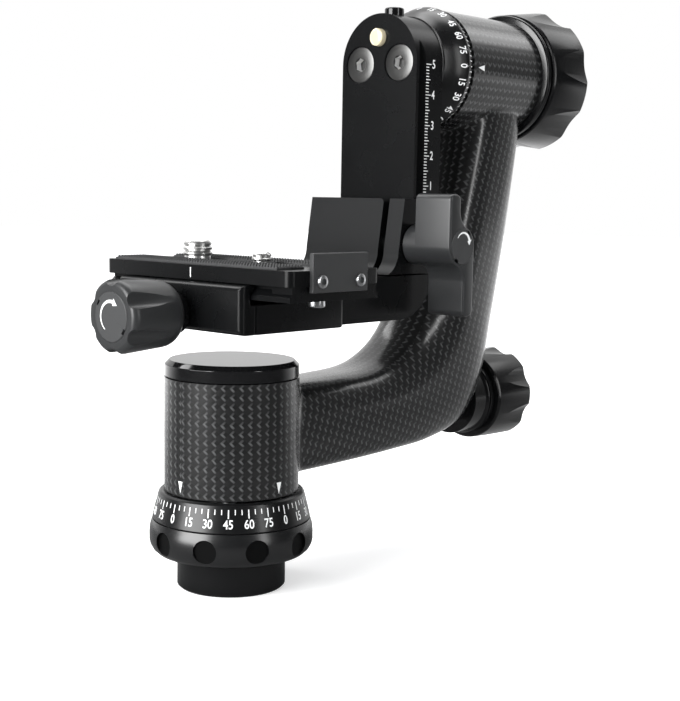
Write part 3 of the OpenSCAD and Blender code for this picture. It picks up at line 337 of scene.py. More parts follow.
def arc(x, y, r, start, end, steps=12):
    angles = [math.radians(start + (end - start) * k / steps) for k in range(steps + 1)]
    return [(x + r * math.cos(a), y + r * math.sin(a)) for a in angles]


def block(x, y, z):
    # a box from three (low, high) pairs
    bm = bmesh.new()
    size = Matrix.Diagonal((x[1] - x[0], y[1] - y[0], z[1] - z[0], 1))
    middle = Matrix.Translation(((x[0] + x[1]) / 2, (y[0] + y[1]) / 2, (z[0] + z[1]) / 2))
    bmesh.ops.create_cube(bm, size=1, matrix=middle @ size)
    return bm


def rod(axis, r, low, high, centre=(0, 0, 0), sides=64, r2=None):
    bm = bmesh.new()
    bmesh.ops.create_cone(bm, cap_ends=True, segments=sides, radius1=r, radius2=r if r2 is None else r2,
                          depth=high - low)
    shifted(bm, 0, 0, (low + high) / 2)
    return moved(bm, axis, centre)


def fromMesh(mesh, bm=None):
    # the mesh goes into a bmesh and is dropped
    bm = bm or bmesh.new()
    bm.from_mesh(mesh)
    bpy.data.meshes.remove(mesh)
    return bm


def toMesh(bm, name):
    mesh = bpy.data.meshes.new(name)
    bm.to_mesh(mesh)
    bm.free()
    return mesh


def joined(*parts):
    bm = bmesh.new()
    for part in parts:
        fromMesh(toMesh(part, "part"), bm)
    return bm


def linked(name, data):
    obj = bpy.data.objects.new(name, data)
    scene.collection.objects.link(obj)
    return obj


def toObject(bm, name):
    return linked(name, toMesh(bm, name))


def finishedMesh(obj):
    # what an object's modifiers make; the object is dropped
    bpy.context.view_layer.update()
    made = bpy.data.meshes.new_from_object(obj.evaluated_get(bpy.context.evaluated_depsgraph_get()))
    bpy.data.objects.remove(obj)
    return fromMesh(made)


def combine(bm, others, operation="DIFFERENCE", solver="EXACT"):
    obj = toObject(bm, "work")
    tools = [toObject(o, "tool") for o in others]
    for tool in tools:
        step = obj.modifiers.new("cut", "BOOLEAN")
        step.operation = operation
        step.solver = solver
        step.object = tool
    out = finishedMesh(obj)
    for tool in tools:
        bpy.data.objects.remove(tool)
    bmesh.ops.remove_doubles(out, verts=out.verts, dist=1e-4)
    bmesh.ops.dissolve_degenerate(out, edges=out.edges, dist=1e-4)
    return out


def roundEdges(bm, test, radius, segments=5):
    edges = [e for e in bm.edges if all(test(v.co) for v in e.verts)]
    bmesh.ops.bevel(bm, geom=edges, offset=radius, offset_type="OFFSET", segments=segments, profile=0.5,
                    affect="EDGES")


def asFinish(material):
    return finish[material] if isinstance(material, str) else material


def place(bm, name, body, material, node=None, slot="black_metal", bevel=0.0, segments=3, angle=30,
          sharp=35):
    # node is the CAD node whose place the piece takes
    bmesh.ops.recalc_face_normals(bm, faces=bm.faces)
    bmesh.ops.scale(bm, vec=(mm, mm, mm), verts=bm.verts)
    obj = toObject(bm, name)
    obj.data.materials.append(asFinish(material))
    obj.data.shade_smooth()
    obj.data.set_sharp_from_angle(angle=math.radians(sharp))
    if bevel:
        edge = obj.modifiers.new("edges", "BEVEL")
        edge.width = bevel * mm
        edge.segments = segments
        edge.limit_method = "ANGLE"
        edge.angle_limit = math.radians(angle)
        edge.profile = 0.5
        edge.harden_normals = True
        edge.miter_outer = "MITER_ARC"
    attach(obj, body)
    if node:
        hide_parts(node)
    return obj


def paintFaces(obj, materials, choose):
    # choose gives each face its material's place in the list; the first one is on the object
    for material in materials:
        obj.data.materials.append(asFinish(material))
    for face in obj.data.polygons:
        face.material_index = int(choose(face, face.center / mm))


# the camera fitted to the photograph: millimetres, degrees and pixels
camera = {"place": (-278.466, -301.348, 123.706), "azimuth": -47.31, "elevation": 9.14, "roll": 0.99,
          "focal": 1319.09, "centreX": 336.11, "centreY": 405.81, "width": 680, "height": 701, "sensor": 36}


def placeCamera():
    a, e, r = (math.radians(camera[key]) for key in ("azimuth", "elevation", "roll"))
    back = Vector((math.sin(a) * math.cos(e), -math.cos(a) * math.cos(e), math.sin(e)))
    level = Vector((math.cos(a), math.sin(a), 0))
    up = back.cross(level)
    right = math.cos(r) * level + math.sin(r) * up
    top = -math.sin(r) * level + math.cos(r) * up
    data = bpy.data.cameras.new("camera")
    obj = linked("camera", data)
    turn = Matrix((right, top, back)).transposed().to_4x4()
    obj.matrix_world = Matrix.Translation(Vector(camera["place"]) * mm) @ turn
    longest = max(camera["width"], camera["height"])
    data.sensor_fit = "AUTO"
    data.sensor_width = camera["sensor"]
    data.lens = camera["focal"] * camera["sensor"] / longest
    data.shift_x = (camera["width"] / 2 - camera["centreX"]) / longest
    data.shift_y = (camera["centreY"] - camera["height"] / 2) / longest
    data.clip_start = 0.01
    data.clip_end = 50
    scene.camera = obj


# each lamp: place, target, size, power
lamps = {
    "top box": ((0.25, 0.25, 1.05), (0.05, 0, 0.1), (0.8, 0.6), 6),
    "left strip": ((-0.95, 0.14, 0.34), (0.03, 0, 0.1), (0.74, 0.9), 22),
    "right strip": ((0.06, -1.0, 0.4), (0.06, 0, 0.1), (0.16, 0.8), 2.5),
    "edge box left": ((-0.1, 0.67, 0.81), (0.04, 0, 0.1), (0.32, 0.32), 1.6),
    "edge box right": ((0.77, -0.14, 0.75), (0.04, 0, 0.1), (0.32, 0.32), 0.6),
}


def placeLamps():
    for name, (spot, target, size, power) in lamps.items():
        data = bpy.data.lights.new(name, "AREA")
        data.shape = "RECTANGLE"
        data.size, data.size_y = size
        data.energy = power
        obj = linked(name, data)
        obj.location = spot
        obj.rotation_euler = (Vector(spot) - Vector(target)).to_track_quat("Z", "Y").to_euler()


def backness(tree, vector, low, high):
    # 0 on the camera's side of the object, 1 behind it, where the white paper stands
    inputs = {0: vector, 1: (0.735, 0.678, 0)}
    towards = addNode(tree, "VectorMath", inputs, operation="DOT_PRODUCT").outputs["Value"]
    return mapped(tree, towards, 0.0, 1.0, low, high, "SMOOTHSTEP")


def seenShare(tree, gloss):
    # white for the eye, and for mirror-like rays as far as the paper reaches
    path = addNode(tree, "LightPath").outputs
    plain = maths(tree, "MAXIMUM", path["Is Camera Ray"], path["Is Transmission Ray"])
    return maths(tree, "MAXIMUM", plain, times(tree, path["Is Glossy Ray"], gloss)), path["Is Glossy Ray"]


def makeStudio():
    world = bpy.data.worlds.new("studio")
    scene.world = world
    world.use_nodes = True
    tree = world.node_tree
    tree.nodes.clear()
    coords = addNode(tree, "TexCoord").outputs["Generated"]
    share, glossy = seenShare(tree, backness(tree, coords, 0.09, 0.65))
    # the room behind the camera is dim for mirror-like rays, and even for the rest
    dim = maths(tree, "SUBTRACT", 0.55, times(tree, glossy, 0.51))
    room = addNode(tree, "Background", {"Color": (0.97, 0.98, 1.0, 1), "Strength": dim})
    paper = addNode(tree, "Background", {"Color": (1, 1, 1, 1), "Strength": 1.0})
    mix = addNode(tree, "MixShader", {0: share, 1: room.outputs[0], 2: paper.outputs[0]})
    addNode(tree, "OutputWorld", {0: mix.outputs[0]})


def makeFloor():
    floor = toObject(rod("Z", 4000, -20, 0, sides=96), "floor")
    floor.data.transform(Matrix.Scale(mm, 4))
    material, tree, shader = blankMaterial("white floor")
    coords = addNode(tree, "TexCoord").outputs["Object"]
    tone = mapped(tree, noiseAt(tree, coords, 3.0).outputs["Fac"], 0.84, 0.88)
    share, glossy = seenShare(tree, backness(tree, coords, 0.0, 0.5))
    # mirror-like rays that land in front of the object meet the dim side of the room
    front = times(tree, glossy, maths(tree, "SUBTRACT", 1.0, share))
    under = addNode(tree, "VectorMath", {0: coords, 1: (0.06, 0, 0)}, operation="DISTANCE")
    loss = mapped(tree, under.outputs["Value"], 0.75, 0.94, 0.1, 0.28)
    kept = maths(tree, "SUBTRACT", 1.0, times(tree, front, loss))
    feed(tree, shader.inputs["Base Color"], times(tree, tone, kept))
    shader.inputs["Roughness"].default_value = 0.9
    shader.inputs["Specular IOR Level"].default_value = 0.0
    away = addNode(tree, "VectorMath", {0: coords}, operation="LENGTH").outputs["Value"]
    strength = times(tree, share, mapped(tree, away, 0.45, 1.0, 0.15, 1.2))
    glow = addNode(tree, "Emission", {"Strength": strength})
    total = addNode(tree, "AddShader", {0: shader.outputs[0], 1: glow.outputs[0]})
    tree.links.new(total.outputs[0], tree.nodes["Material Output"].inputs[0])
    floor.data.materials.append(material)


placeCamera()
makeStudio()
makeFloor()
placeLamps()
scene.view_settings.view_transform = "Standard"
print("camera and studio ready")


panBase = {"footR": 17.2, "footH": 11, "holeR": 3.97, "threadR": 4.6, "threadPitch": 1.5875, "holeDepth": 12,
           "spigotR": 12.98, "spigotTop": 29, "socketR": 8.02, "socketZ": 15,
           "gripR": 26, "gripZ": 11, "gripH": 11, "dimples": 10, "dimpleR": 3.7, "dimpleDepth": 1.1,
           "firstDimple": -115, "scaleLow": 25, "scaleTop": 23, "scaleZ": 22, "scaleH": 9}


def makeFoot():
    d = panBase
    thread = [(d["holeDepth"], d["holeR"])]
    z = d["holeDepth"] - 0.6
    while z > 1.6:
        thread += [(z, d["holeR"]), (z - d["threadPitch"] / 2, d["threadR"])]
        z -= d["threadPitch"]
    body = [(0.7, d["holeR"] + 0.1), (0, d["holeR"] + 0.9), (0, d["footR"] - 0.6), (0.6, d["footR"]),
            (d["footH"], d["footR"]), (d["footH"], d["spigotR"]), (d["spigotTop"], d["spigotR"]),
            (d["spigotTop"], d["socketR"]), (d["socketZ"], d["socketR"])]
    place(lathe(thread + body), "footPiece", "base", "glossBlack", "tripod_foot")


def makeGripRing():
    d = panBase
    z, r, bore, top = d["gripZ"], d["gripR"], d["spigotR"] + 0.04, d["gripZ"] + d["gripH"]
    outer = steps(z, r, (0, -3.4), (0.5, -2.3), (1.6, -1.1), (3.0, -0.35), (4.6, 0), (7, 0), (8.8, -0.25))
    outer += [(top - 0.8, r - 0.7), (top, d["scaleLow"])]
    cutters = []
    for k in range(d["dimples"]):
        cut = spun(rod("X", d["dimpleR"], r - d["dimpleDepth"], r + 3, sides=48),
                   math.radians(k * 360 / d["dimples"] + d["firstDimple"]), "Z")
        cutters.append(shifted(cut, 0, 0, (z + top) / 2))
    bm = combine(ringed([(z, bore), *outer, (top, bore)], 160), [joined(*cutters)])
    obj = place(bm, "gripRing", "base", "gripBlack", "grip_ring", bevel=0.12, segments=2)

    def isDimple(face, c):
        depth = radiusAt(outer, c.z) - math.hypot(c.x, c.y)
        return depth > 0.3 and z + 1 < c.z < top - 1 and math.hypot(c.x, c.y) > r - 3

    # painted shade: the dimples' floors get the darker paint
    paintFaces(obj, ["dimpleShadePaint"], isDimple)


def makePanScale():
    d = panBase
    z, bore, r, top = d["scaleZ"], d["spigotR"] + 0.04, d["scaleTop"], d["scaleZ"] + d["scaleH"]
    profile = [(z + 0.1, bore), *steps(z, d["scaleLow"], (0.1, -0.3), (0.4, 0)),
               *steps(top, r, (-0.6, 0), (0, -0.6), (0, -1.6), (-0.4, -1.9)), (top - 0.4, bore)]
    place(ringed(profile, 160), "panScaleRing", "base", "scaleBlack", "pan_scale_ring", "scale_metal",
          bevel=0.15, segments=2, angle=20)


makeFoot()
makeGripRing()
makePanScale()
print("pan base ready")


# clothTurn is in degrees; bendAt, bendReach and bendSoft make the section rounder near the elbow
arm = {"halfW": 16.0, "square": 3.1, "lowZ": 33.8, "topZ": 63.6, "elbowX": 117.9, "upright": 32,
       "voxel": 0.62, "clothTurn": -19, "rings": 8, "sides": 72, "bendAt": (-18, 36), "bendReach": 48,
       "bendSoft": 0.5, "crease": 0.3, "overlap": 4}
# sleeve seats of column and hub, the lock collar's seat and its mouth, the brake rod's way:
# radius, start and end along the axis
armBores = {"column": (18.2, 20, 90), "hub": (17.5, 80, 150), "lockSeat": (13.22, 109.88, 140),
            "lockMouth": (14.4, 116.1, 140), "brakeRod": (5.5, 0, 115)}


def edgePairs():
    # inner and outer edge of the arm in the XZ plane, from column to hub
    x, low, top = arm["elbowX"], arm["lowZ"], arm["topZ"]
    hubEnd, tilt = head["hubEnd"], head["tiltZ"]
    elbow = ((x - 34.5, top + 22.8), (x - 1, low + 20.2))
    hub = ((hubEnd - 0.5 - arm["upright"], tilt - 20), (hubEnd - 0.1, tilt - 21))
    pairs = [((0, top), (0, low)), ((22.2, top), (22.2, low)), ((x - 78, top + 0.5), (x - 74, low + 0.4)),
             ((x - 62, top + 1.6), (x - 51, low + 1.2)), ((x - 51.5, top + 4.9), (x - 30, low + 2.5)),
             ((x - 42, top + 11.8), (x - 11.6, low + 7.4)), elbow]
    for t in (0.25, 0.5, 0.75):
        bulges = (5 * t * (1 - t), 3 * t * (1 - t))
        pairs.append(tuple((e[0] + (h[0] - e[0]) * t + bulge, e[1] + (h[1] - e[1]) * t)
                           for e, h, bulge in zip(elbow, hub, bulges)))
    pairs.append(hub)
    pairs.append(((hubEnd + 0.5 - arm["upright"], tilt - 7), (hubEnd - 0.2, tilt - 7)))
    return pairs


def smoothAt(points, i, t):
    # a curve through all the points
    a, b, c, d = (Vector(points[min(max(i + n, 0), len(points) - 1)]) for n in (-1, 0, 1, 2))
    bent, twisted = 2 * a - 5 * b + 4 * c - d, 3 * b - a - 3 * c + d
    return 0.5 * (2 * b + t * (c - a) + t * t * bent + t ** 3 * twisted)


def armStations(steps):
    inner, outer = zip(*edgePairs())
    places = [(i, k / steps) for i in range(len(inner) - 1) for k in range(steps)]
    stations = [(smoothAt(inner, i, t), smoothAt(outer, i, t)) for i, t in places]
    return stations + [(Vector(inner[-1]), Vector(outer[-1]))]


def sectionPoint(inner, outer, angle):
    middle = (inner + outer) / 2
    half = (inner - outer).length / 2
    along = (inner - outer).normalized()
    bendCentre = Vector((arm["elbowX"] + arm["bendAt"][0], arm["lowZ"] + arm["bendAt"][1]))
    bend = max(0.0, 1 - (middle - bendCentre).length / arm["bendReach"])
    power = 2 / (arm["square"] - arm["bendSoft"] * bend)
    c, s = math.cos(angle), math.sin(angle)
    y = math.copysign(abs(c) ** power, c) * arm["halfW"]
    u = math.copysign(abs(s) ** power, s) * half
    return Vector((middle.x + along.x * u, y, middle.y + along.y * u))


def sweptArm(stations):
    bm = bmesh.new()
    loops = []
    for inner, outer in stations:
        out = bmesh.ops.create_circle(bm, cap_ends=False, radius=1, segments=arm["sides"])
        for k, v in enumerate(out["verts"]):
            v.co = sectionPoint(inner, outer, tau * k / arm["sides"])
        loops.append(list({e for v in out["verts"] for e in v.link_edges}))
    for a, b in zip(loops, loops[1:]):
        bmesh.ops.bridge_loops(bm, edges=a + b)
    closeHoles(bm)
    return bm


def clothRun(stations, side):
    # cloth that runs along one edge of the arm
    points = [Vector((pair[side].x, 0, pair[side].y)) for pair in stations]
    lengths = [0.0]
    for p, q in zip(points, points[1:]):
        lengths.append(lengths[-1] + (q - p).length)

    def at(co):
        k = min(range(len(points)), key=lambda n: (points[n].x - co.x) ** 2 + (points[n].z - co.z) ** 2)
        direction = (points[min(k + 1, len(points) - 1)] - points[max(k - 1, 0)]).normalized()
        return co.y, lengths[k] + (co - points[k]).dot(direction)

    return at


def weaveCoords(mesh, stations):
    # the cloth lies flat on the side faces, wraps column and hub, and runs along the other faces
    turn = math.radians(arm["clothTurn"])
    hubZ, columnR, hubR = head["tiltZ"], head["columnR"], head["hubR"]
    laid = {
        "column": lambda co: (math.atan2(co.y, co.x) * columnR, co.z),
        "hub": lambda co: (-math.atan2(co.y, hubZ - co.z) * hubR, co.x),
        "side": lambda co: (co.x * math.cos(turn) + co.z * math.sin(turn),
                            co.z * math.cos(turn) - co.x * math.sin(turn)),
        "inner": clothRun(stations, 0), "outer": clothRun(stations, 1),
    }
    full = {"column": tau * columnR, "hub": tau * hubR}

    def kindOf(face):
        c = face.center
        if math.hypot(c.x, c.y) < columnR + 0.9:
            return "column"
        if c.x > head["hubX"] - 2 and math.hypot(c.y, c.z - hubZ) < hubR + 0.6:
            return "hub"
        if abs(face.normal.y) > 0.6:
            return "side"
        inner, outer = min(stations, key=lambda pair: (pair[0].x + pair[1].x - 2 * c.x) ** 2
                           + (pair[0].y + pair[1].y - 2 * c.z) ** 2)
        across = inner - outer
        return "inner" if face.normal.x * across.x + face.normal.z * across.y > 0 else "outer"

    layer = mesh.uv_layers.new(name="weave")
    uvs = [0.0] * (2 * len(mesh.loops))
    cache = {}
    for face in mesh.polygons:
        kind = kindOf(face)
        middle = laid[kind](face.center)[0] if kind in full else 0
        for loop in face.loop_indices:
            n = mesh.loops[loop].vertex_index
            if (n, kind) not in cache:
                cache[n, kind] = laid[kind](mesh.vertices[n].co)
            u, v = cache[n, kind]
            if kind in full:
                u += round((middle - u) / full[kind]) * full[kind]
            uvs[2 * loop:2 * loop + 2] = u, v
    layer.data.foreach_set("uv", uvs)


def relaxed(bm):
    # the moulded corners: the skin near a crease is relaxed most
    bm.normal_update()
    near = set()
    for e in bm.edges:
        if len(e.link_faces) == 2 and e.calc_face_angle(0) > arm["crease"]:
            near.update(e.verts)
    for k in range(2):
        near.update(o for v in list(near) for e in v.link_edges for o in e.verts)
    for verts in [list(near)] * 10 + [bm.verts] * 3:
        bmesh.ops.smooth_vert(bm, verts=verts, factor=0.5, use_axis_x=True, use_axis_y=True, use_axis_z=True)
    return bm


def makeArm():
    stations = armStations(arm["rings"])
    extra = arm["overlap"]
    column = rod("Z", head["columnR"], head["columnZ"] - extra, head["columnTop"] + extra, sides=160)
    hub = rod("X", head["hubR"], head["hubX"] - extra, head["hubEnd"] + extra, tiltAxis, sides=160)
    obj = toObject(combine(sweptArm(stations), [column, hub], "UNION"), "arm blank")
    grid = obj.modifiers.new("grid", "REMESH")
    grid.mode = "VOXEL"
    grid.voxel_size = arm["voxel"]
    bm = relaxed(finishedMesh(obj))
    for point, normal in (((0, 0, head["columnZ"]), (0, 0, -1)), ((head["hubEnd"], 0, 0), (1, 0, 0))):
        geom = bm.verts[:] + bm.edges[:] + bm.faces[:]
        bmesh.ops.bisect_plane(bm, geom=geom, dist=1e-5, plane_co=point, plane_no=normal, clear_outer=True)
        closeHoles(bm)
    trims = [block((-30, 24), (-30, 30), (head["columnTop"], 80)),
             block((80, head["hubX"]), (-30, 30), (head["tiltZ"] - 21.5, 200))]
    bores = [rod("Z", *armBores["column"], sides=128), rod("X", *armBores["hub"], tiltAxis, 128),
             rod("X", *armBores["lockSeat"], lockAxis, 96), rod("X", *armBores["lockMouth"], lockAxis, 96),
             rod("X", *armBores["brakeRod"], lockAxis, 48)]
    mesh = toMesh(combine(bm, trims + bores, "DIFFERENCE", "FAST"), "arm skin")
    weaveCoords(mesh, stations)
    place(fromMesh(mesh), "carbonArm", "pan_arm", "carbon", "carbon_arm", "carbon", sharp=50)


makeArm()
print("carbon arm ready")


cap = {"r": 21, "low": 66.95, "top": 72.3, "chamfer": 1.4}


def makeCap():
    r, low, top, chamfer = cap["r"], cap["low"], cap["top"], cap["chamfer"]
    profile = [(low, 0), (low, r - 0.5), (low + 0.35, r), (top - chamfer, r), (top, r - chamfer), (top, 0)]
    place(lathe(profile, 192), "columnCap", "pan_arm", "capBlack", "column_cap",
          bevel=0.12, segments=2)


# both lock knobs turn about X; first is the angle of the first scallop above -Y, in degrees
lockScrewR = 4.05
panLock = {"collarX": 106.9, "spigotR": 9, "flangeR": 13.2, "rimR": 14, "knobX": 120.7, "knobLength": 20,
           "neck": 16.2, "rim": 17, "scallops": 7, "scallopR": 8, "scallopDepth": 2, "cutLength": 13.6,
           "first": 180 / 7}
tiltLock = {"collarX": 122.7, "boreR": 17.47, "collarR": 22.9, "collarT": 3.4, "stepR": 13.4, "stepX": 2.6,
            "knobX": 137.5, "knobLength": 19.6, "neck": 23.5, "rim": 25.8, "scallops": 7, "scallopR": 17,
            "scallopDepth": 2.1, "cutLength": 18, "first": 11}


def scalloped(d, axis):
    # each scallop starts inside the rim and deepens towards it
    x0, x1, neck, rim = d["knobX"], d["knobX"] + d["knobLength"], d["neck"], d["rim"]
    bore, recess = lockScrewR + 0.05, rim * 0.55
    profile = [(x0, bore), *steps(x0, neck, (0, -0.8), (0.25, -0.3), (0.8, 0)),
               *steps(x1, rim, (-1.9, 0), (-1.3, -0.08), (-0.7, -0.45), (-0.2, -1.1), (0, -1.9)),
               *steps(x1, recess, (0, 0), (-0.3, -0.3), (-1.2, -0.3)), (x1 - 1.2, bore)]
    bm = ringed(profile, 160, "X", axis)
    start = rim + (neck - rim) * d["cutLength"] / d["knobLength"]
    lean = math.atan((start - rim + d["scallopDepth"]) / d["cutLength"])
    cutters = []
    for k in range(d["scallops"]):
        cut = rod("X", d["scallopR"], -1.5 * d["knobLength"], d["knobLength"] / 2, sides=128)
        shifted(spun(cut, lean, "Y"), 0, 0, rim - d["scallopDepth"] + d["scallopR"])
        spun(cut, tau * k / d["scallops"] + math.pi / 2 - math.radians(d["first"]), "X")
        cutters.append(shifted(cut, x1, 0, axis[2]))
    return combine(bm, [joined(*cutters)])


def makePanLock():
    d = panLock
    x, rim = d["collarX"], d["rimR"]
    profile = [(x - 6, lockScrewR), (x - 6, d["spigotR"]), (x + 3, d["spigotR"]), (x + 3, d["flangeR"]),
               (x + 9.6, d["flangeR"])]
    profile += steps(x, rim, (10.2, -0.1), (10.5, 0), (10.8, -0.1), (11, -0.7), (11.3, -0.7), (11.5, -0.1),
                     (13.1, 0), (13.4, -0.3))
    profile += [(x + 13.4, lockScrewR)]
    place(ringed(profile, 128, "X", lockAxis), "panLockCollar", "pan_arm", "glossBlack", "pan_lock_collar")
    place(scalloped(d, lockAxis), "panLockKnob", "pan_knob", "knobBlack", "pan_lock_knob",
          bevel=0.22, angle=18, sharp=24)


def makeTiltLock():
    d = tiltLock
    x, r, end, step = d["collarX"], d["collarR"], head["hubEnd"], d["stepR"]
    top, floor = end + d["collarT"], end - d["stepX"]
    profile = [(x, step), (x, d["boreR"]), (end + 0.1, d["boreR"]), *steps(
        end, r, (0.1, -0.6), (0.3, -0.2), (0.6, 0), (1.1, 0), (1.35, -0.25), (1.55, -0.85), (1.8, -0.85),
        (2.0, -0.4), (2.2, -0.3), (2.6, -0.3), (2.8, -0.5), (3.0, -1.2),
    ), (top, r - 1.2), (top, lockScrewR), (floor, lockScrewR), (floor, step)]
    place(ringed(profile, 160, "X", tiltAxis), "tiltLockCollar", "pan_arm", "grooveBlack",
          "tilt_lock_collar")
    place(scalloped(d, tiltAxis), "tiltLockKnob", "tilt_knob", "knobBlack", "tilt_lock_knob",
          bevel=0.28, angle=18, sharp=24)


makeCap()
makePanLock()
makeTiltLock()
print("cap and locks ready")


tiltRing = {"boreR": 13.02, "profile": [
    (80.25, 16.6), (80.35, 16.8), (81.2, 16.8), (82.5, 17.5), (83.8, 18.4), (85.2, 19.3), (86.6, 19.95),
    (87.9, 20.45), (89.1, 20.9), (89.5, 20.9), (92.0, 20.0), (92.4, 19.6), (92.5, 19.4)]}


def makeTiltRing():
    bore, outer = tiltRing["boreR"], tiltRing["profile"]
    outline = [(outer[0][0], bore), *outer, (outer[-1][0], bore)]
    place(ringed(outline, 160, "X", tiltAxis), "tiltScaleRing", "tilt_arm", "scaleBlack",
          "tilt_scale_ring", "scale_metal", sharp=25)


makeTiltRing()


swing = {"half": 16.5, "low": 96, "grooveX": 69.8, "groove": 1.8, "screwY": 8.6, "headR": 6, "sink": 0.3,
         "hex": 4, "hexTurn": 0.4, "hexDepth": 2.6, "socketR": 2.6, "screwR": 3.02, "headH": 3,
         "screwL": 16.9, "pinZ": 175.8, "pinR": 2.9, "pinOut": 2.2, "pinL": 5.8, "buttonX": 74,
         "buttonR": 3.3, "buttonTop": 186.2, "buttonBase": 180.85, "stemR": 1.1, "stemLow": 166.3}


def diamond(x, y, half, low, high):
    # a square bar on edge, along Z
    side = half / math.sqrt(2)
    return shifted(spun(block((-side, side), (-side, side), (low, high)), math.pi / 4, "Z"), x, y)


def makeSwingArm():
    d = swing
    x, z, seat = head["swingX"], head["tiltZ"], head["swingX"] + d["sink"]
    outline = [(-d["half"], d["low"]), (d["half"], d["low"])] + arc(0, z, d["half"], 0, 180, 48)
    bm = plate(outline, "X", x, head["swingRear"])
    cuts = [diamond(d["grooveX"], s * d["half"], d["groove"], d["low"] - 1, 200) for s in (-1, 1)]
    for centre in ((0, -d["screwY"], z), (0, d["screwY"], z)):
        cuts.append(rod("X", d["headR"] + 0.22, x - 1, seat, centre, 96))
        cuts.append(rod("X", d["headR"] + 0.2, seat - 0.01, seat + d["headH"], centre, 96, d["screwR"]))
        cuts.append(rod("X", d["screwR"], x + 3, head["swingRear"] + 1, centre, 48))
    cuts.append(rod("X", d["pinR"] + 0.05, x - 1, d["buttonX"], (0, 0, d["pinZ"]), 64))
    cuts.append(rod("Z", d["buttonR"] + 0.08, z - 3, 200, (d["buttonX"], 0, 0), 64))
    place(combine(bm, cuts), "swingArm", "tilt_arm", "satinBlack", "swing_arm",
          bevel=0.6, segments=4, angle=28)


def makeSwingScrews():
    d = swing
    x, z, headR, shank = head["swingX"] + d["sink"], head["tiltZ"], d["headR"], d["screwR"] - 0.05
    profile = [(x, 0), *steps(x, headR, (0, -0.35), (0.1, -0.08), (0.35, -0.1)), (x + d["headH"], shank),
               (x + d["screwL"], shank), (x + d["screwL"], 0)]
    parts, turned = [], []
    for side, label in ((-1, "near"), (1, "far")):
        centre = (0, side * d["screwY"], z)
        socket = rod("X", d["hex"] / math.sqrt(3), x - 1, x + d["hexDepth"], sides=6)
        shifted(spun(socket, d["hexTurn"] * side, "X"), *centre)
        mouth = rod("X", d["hex"] / 2 + 0.45, x - 0.01, x + 0.4, centre, 64, d["hex"] / 2)
        parts.append(combine(lathe(profile, 96, "X", centre), [socket, mouth]))
        turned.append(turnedMetal("turned steel " + label, (0.13, 0.13, 0.128), "X", centre))
    obj = place(joined(*parts), "swingArmScrews", "tilt_arm", turned[0], "swing_arm_screws", "steel",
                sharp=30)

    def choose(face, c):
        # the socket's walls are painted pale, a painted highlight for the glints in them, and each head is
        # turned about its own axis
        inside = math.hypot(abs(c.y) - d["screwY"], c.z - z) < d["socketR"]
        wall = inside and x + 0.05 < c.x < x + d["hexDepth"] + 0.1 and abs(face.normal.x) < 0.5
        return 2 if wall else c.y > 0

    paintFaces(obj, [turned[1], "socket"], choose)


def makePinAndButton():
    d = swing
    x, r = head["swingX"] - d["pinOut"], d["pinR"]
    profile = [(x, 0), *steps(x, r, (0, -1.0), (0.12, -0.55), (0.45, -0.12), (0.9, 0)), (x + d["pinL"], r),
               (x + d["pinL"], 0)]
    bm = lathe(profile, 96, "X", (0, 0, d["pinZ"]))
    place(bm, "safetyPin", "stop_pin", "polished", "safety_pin", "polished_pin")
    top, r, base, stem, low = d["buttonTop"], d["buttonR"], d["buttonBase"], d["stemR"], d["stemLow"]
    profile = [(low, 0), (low, stem), (base, stem), (base, r),
               *steps(top, r, (-0.6, 0), (-0.35, -0.08), (-0.12, -0.3), (0, -0.7)), (top, 0)]
    bm = lathe(profile, 96, "Z", (d["buttonX"], 0, 0))
    place(bm, "releaseButton", "button", "buttonBlack", "release_button")


makeSwingArm()
makeSwingScrews()
makePinAndButton()
print("swing arm ready")


carriage = {"right": 21, "top": 122.4, "front": 55.6, "foot": 53.0, "fillet": 8, "corner": 17.5,
            "rear": 71.6, "sideY": -22.1, "leftY": 19.7, "slitY": -15.7, "slit": 2.6,
            "channel": (66.2, 79.8), "channelY": 16.7, "wingX": 61, "wingZ": 107.6, "screwR": 3.05,
            "jawBoreR": 3.3, "notchX": (60.2, 80), "notchY": (-17.5, -12.5)}
wingAxis = (carriage["wingX"], 0, carriage["wingZ"])


def carriageOutline():
    c = carriage
    low, flat = head["clampZ"], head["platZ"]
    outline = [(c["right"], flat), (c["right"], low)]
    outline += arc(c["rear"] - c["corner"], low + c["corner"], c["corner"], -90, 0, 24)
    outline += [(c["rear"], c["top"]), (c["front"], c["top"])]
    outline += arc(c["foot"] - c["fillet"], flat + c["fillet"], c["fillet"], 0, -90, 24)
    return outline


def channelCutter(low, high):
    tongues = [diamond(swing["grooveX"], s * (swing["half"] + 0.2), swing["groove"] - 0.15, 60, 140)
               for s in (-1, 1)]
    return combine(block(carriage["channel"], (low, high), (70, 130)), tongues)


def finishUpright(bm, name, body, node, sides, r, **edges):
    # the upright's rounded top corners, and the wall that faces the lens painted lighter than the rest:
    # painted light, for the light that face catches
    top, wall = carriage["top"], carriage["front"] + 0.6
    for y in sides:
        roundEdges(bm, lambda co: abs(co.z - top) < 0.01 and abs(co.y - y) < 0.01 and co.x < 61, r)
    obj = place(bm, name, body, "satinBlack", node, angle=28, **edges)
    paintFaces(obj, ["lensWallLitPaint"],
               lambda face, c: face.normal.x < -0.1 and c.x < wall and c.z > head["platZ"])


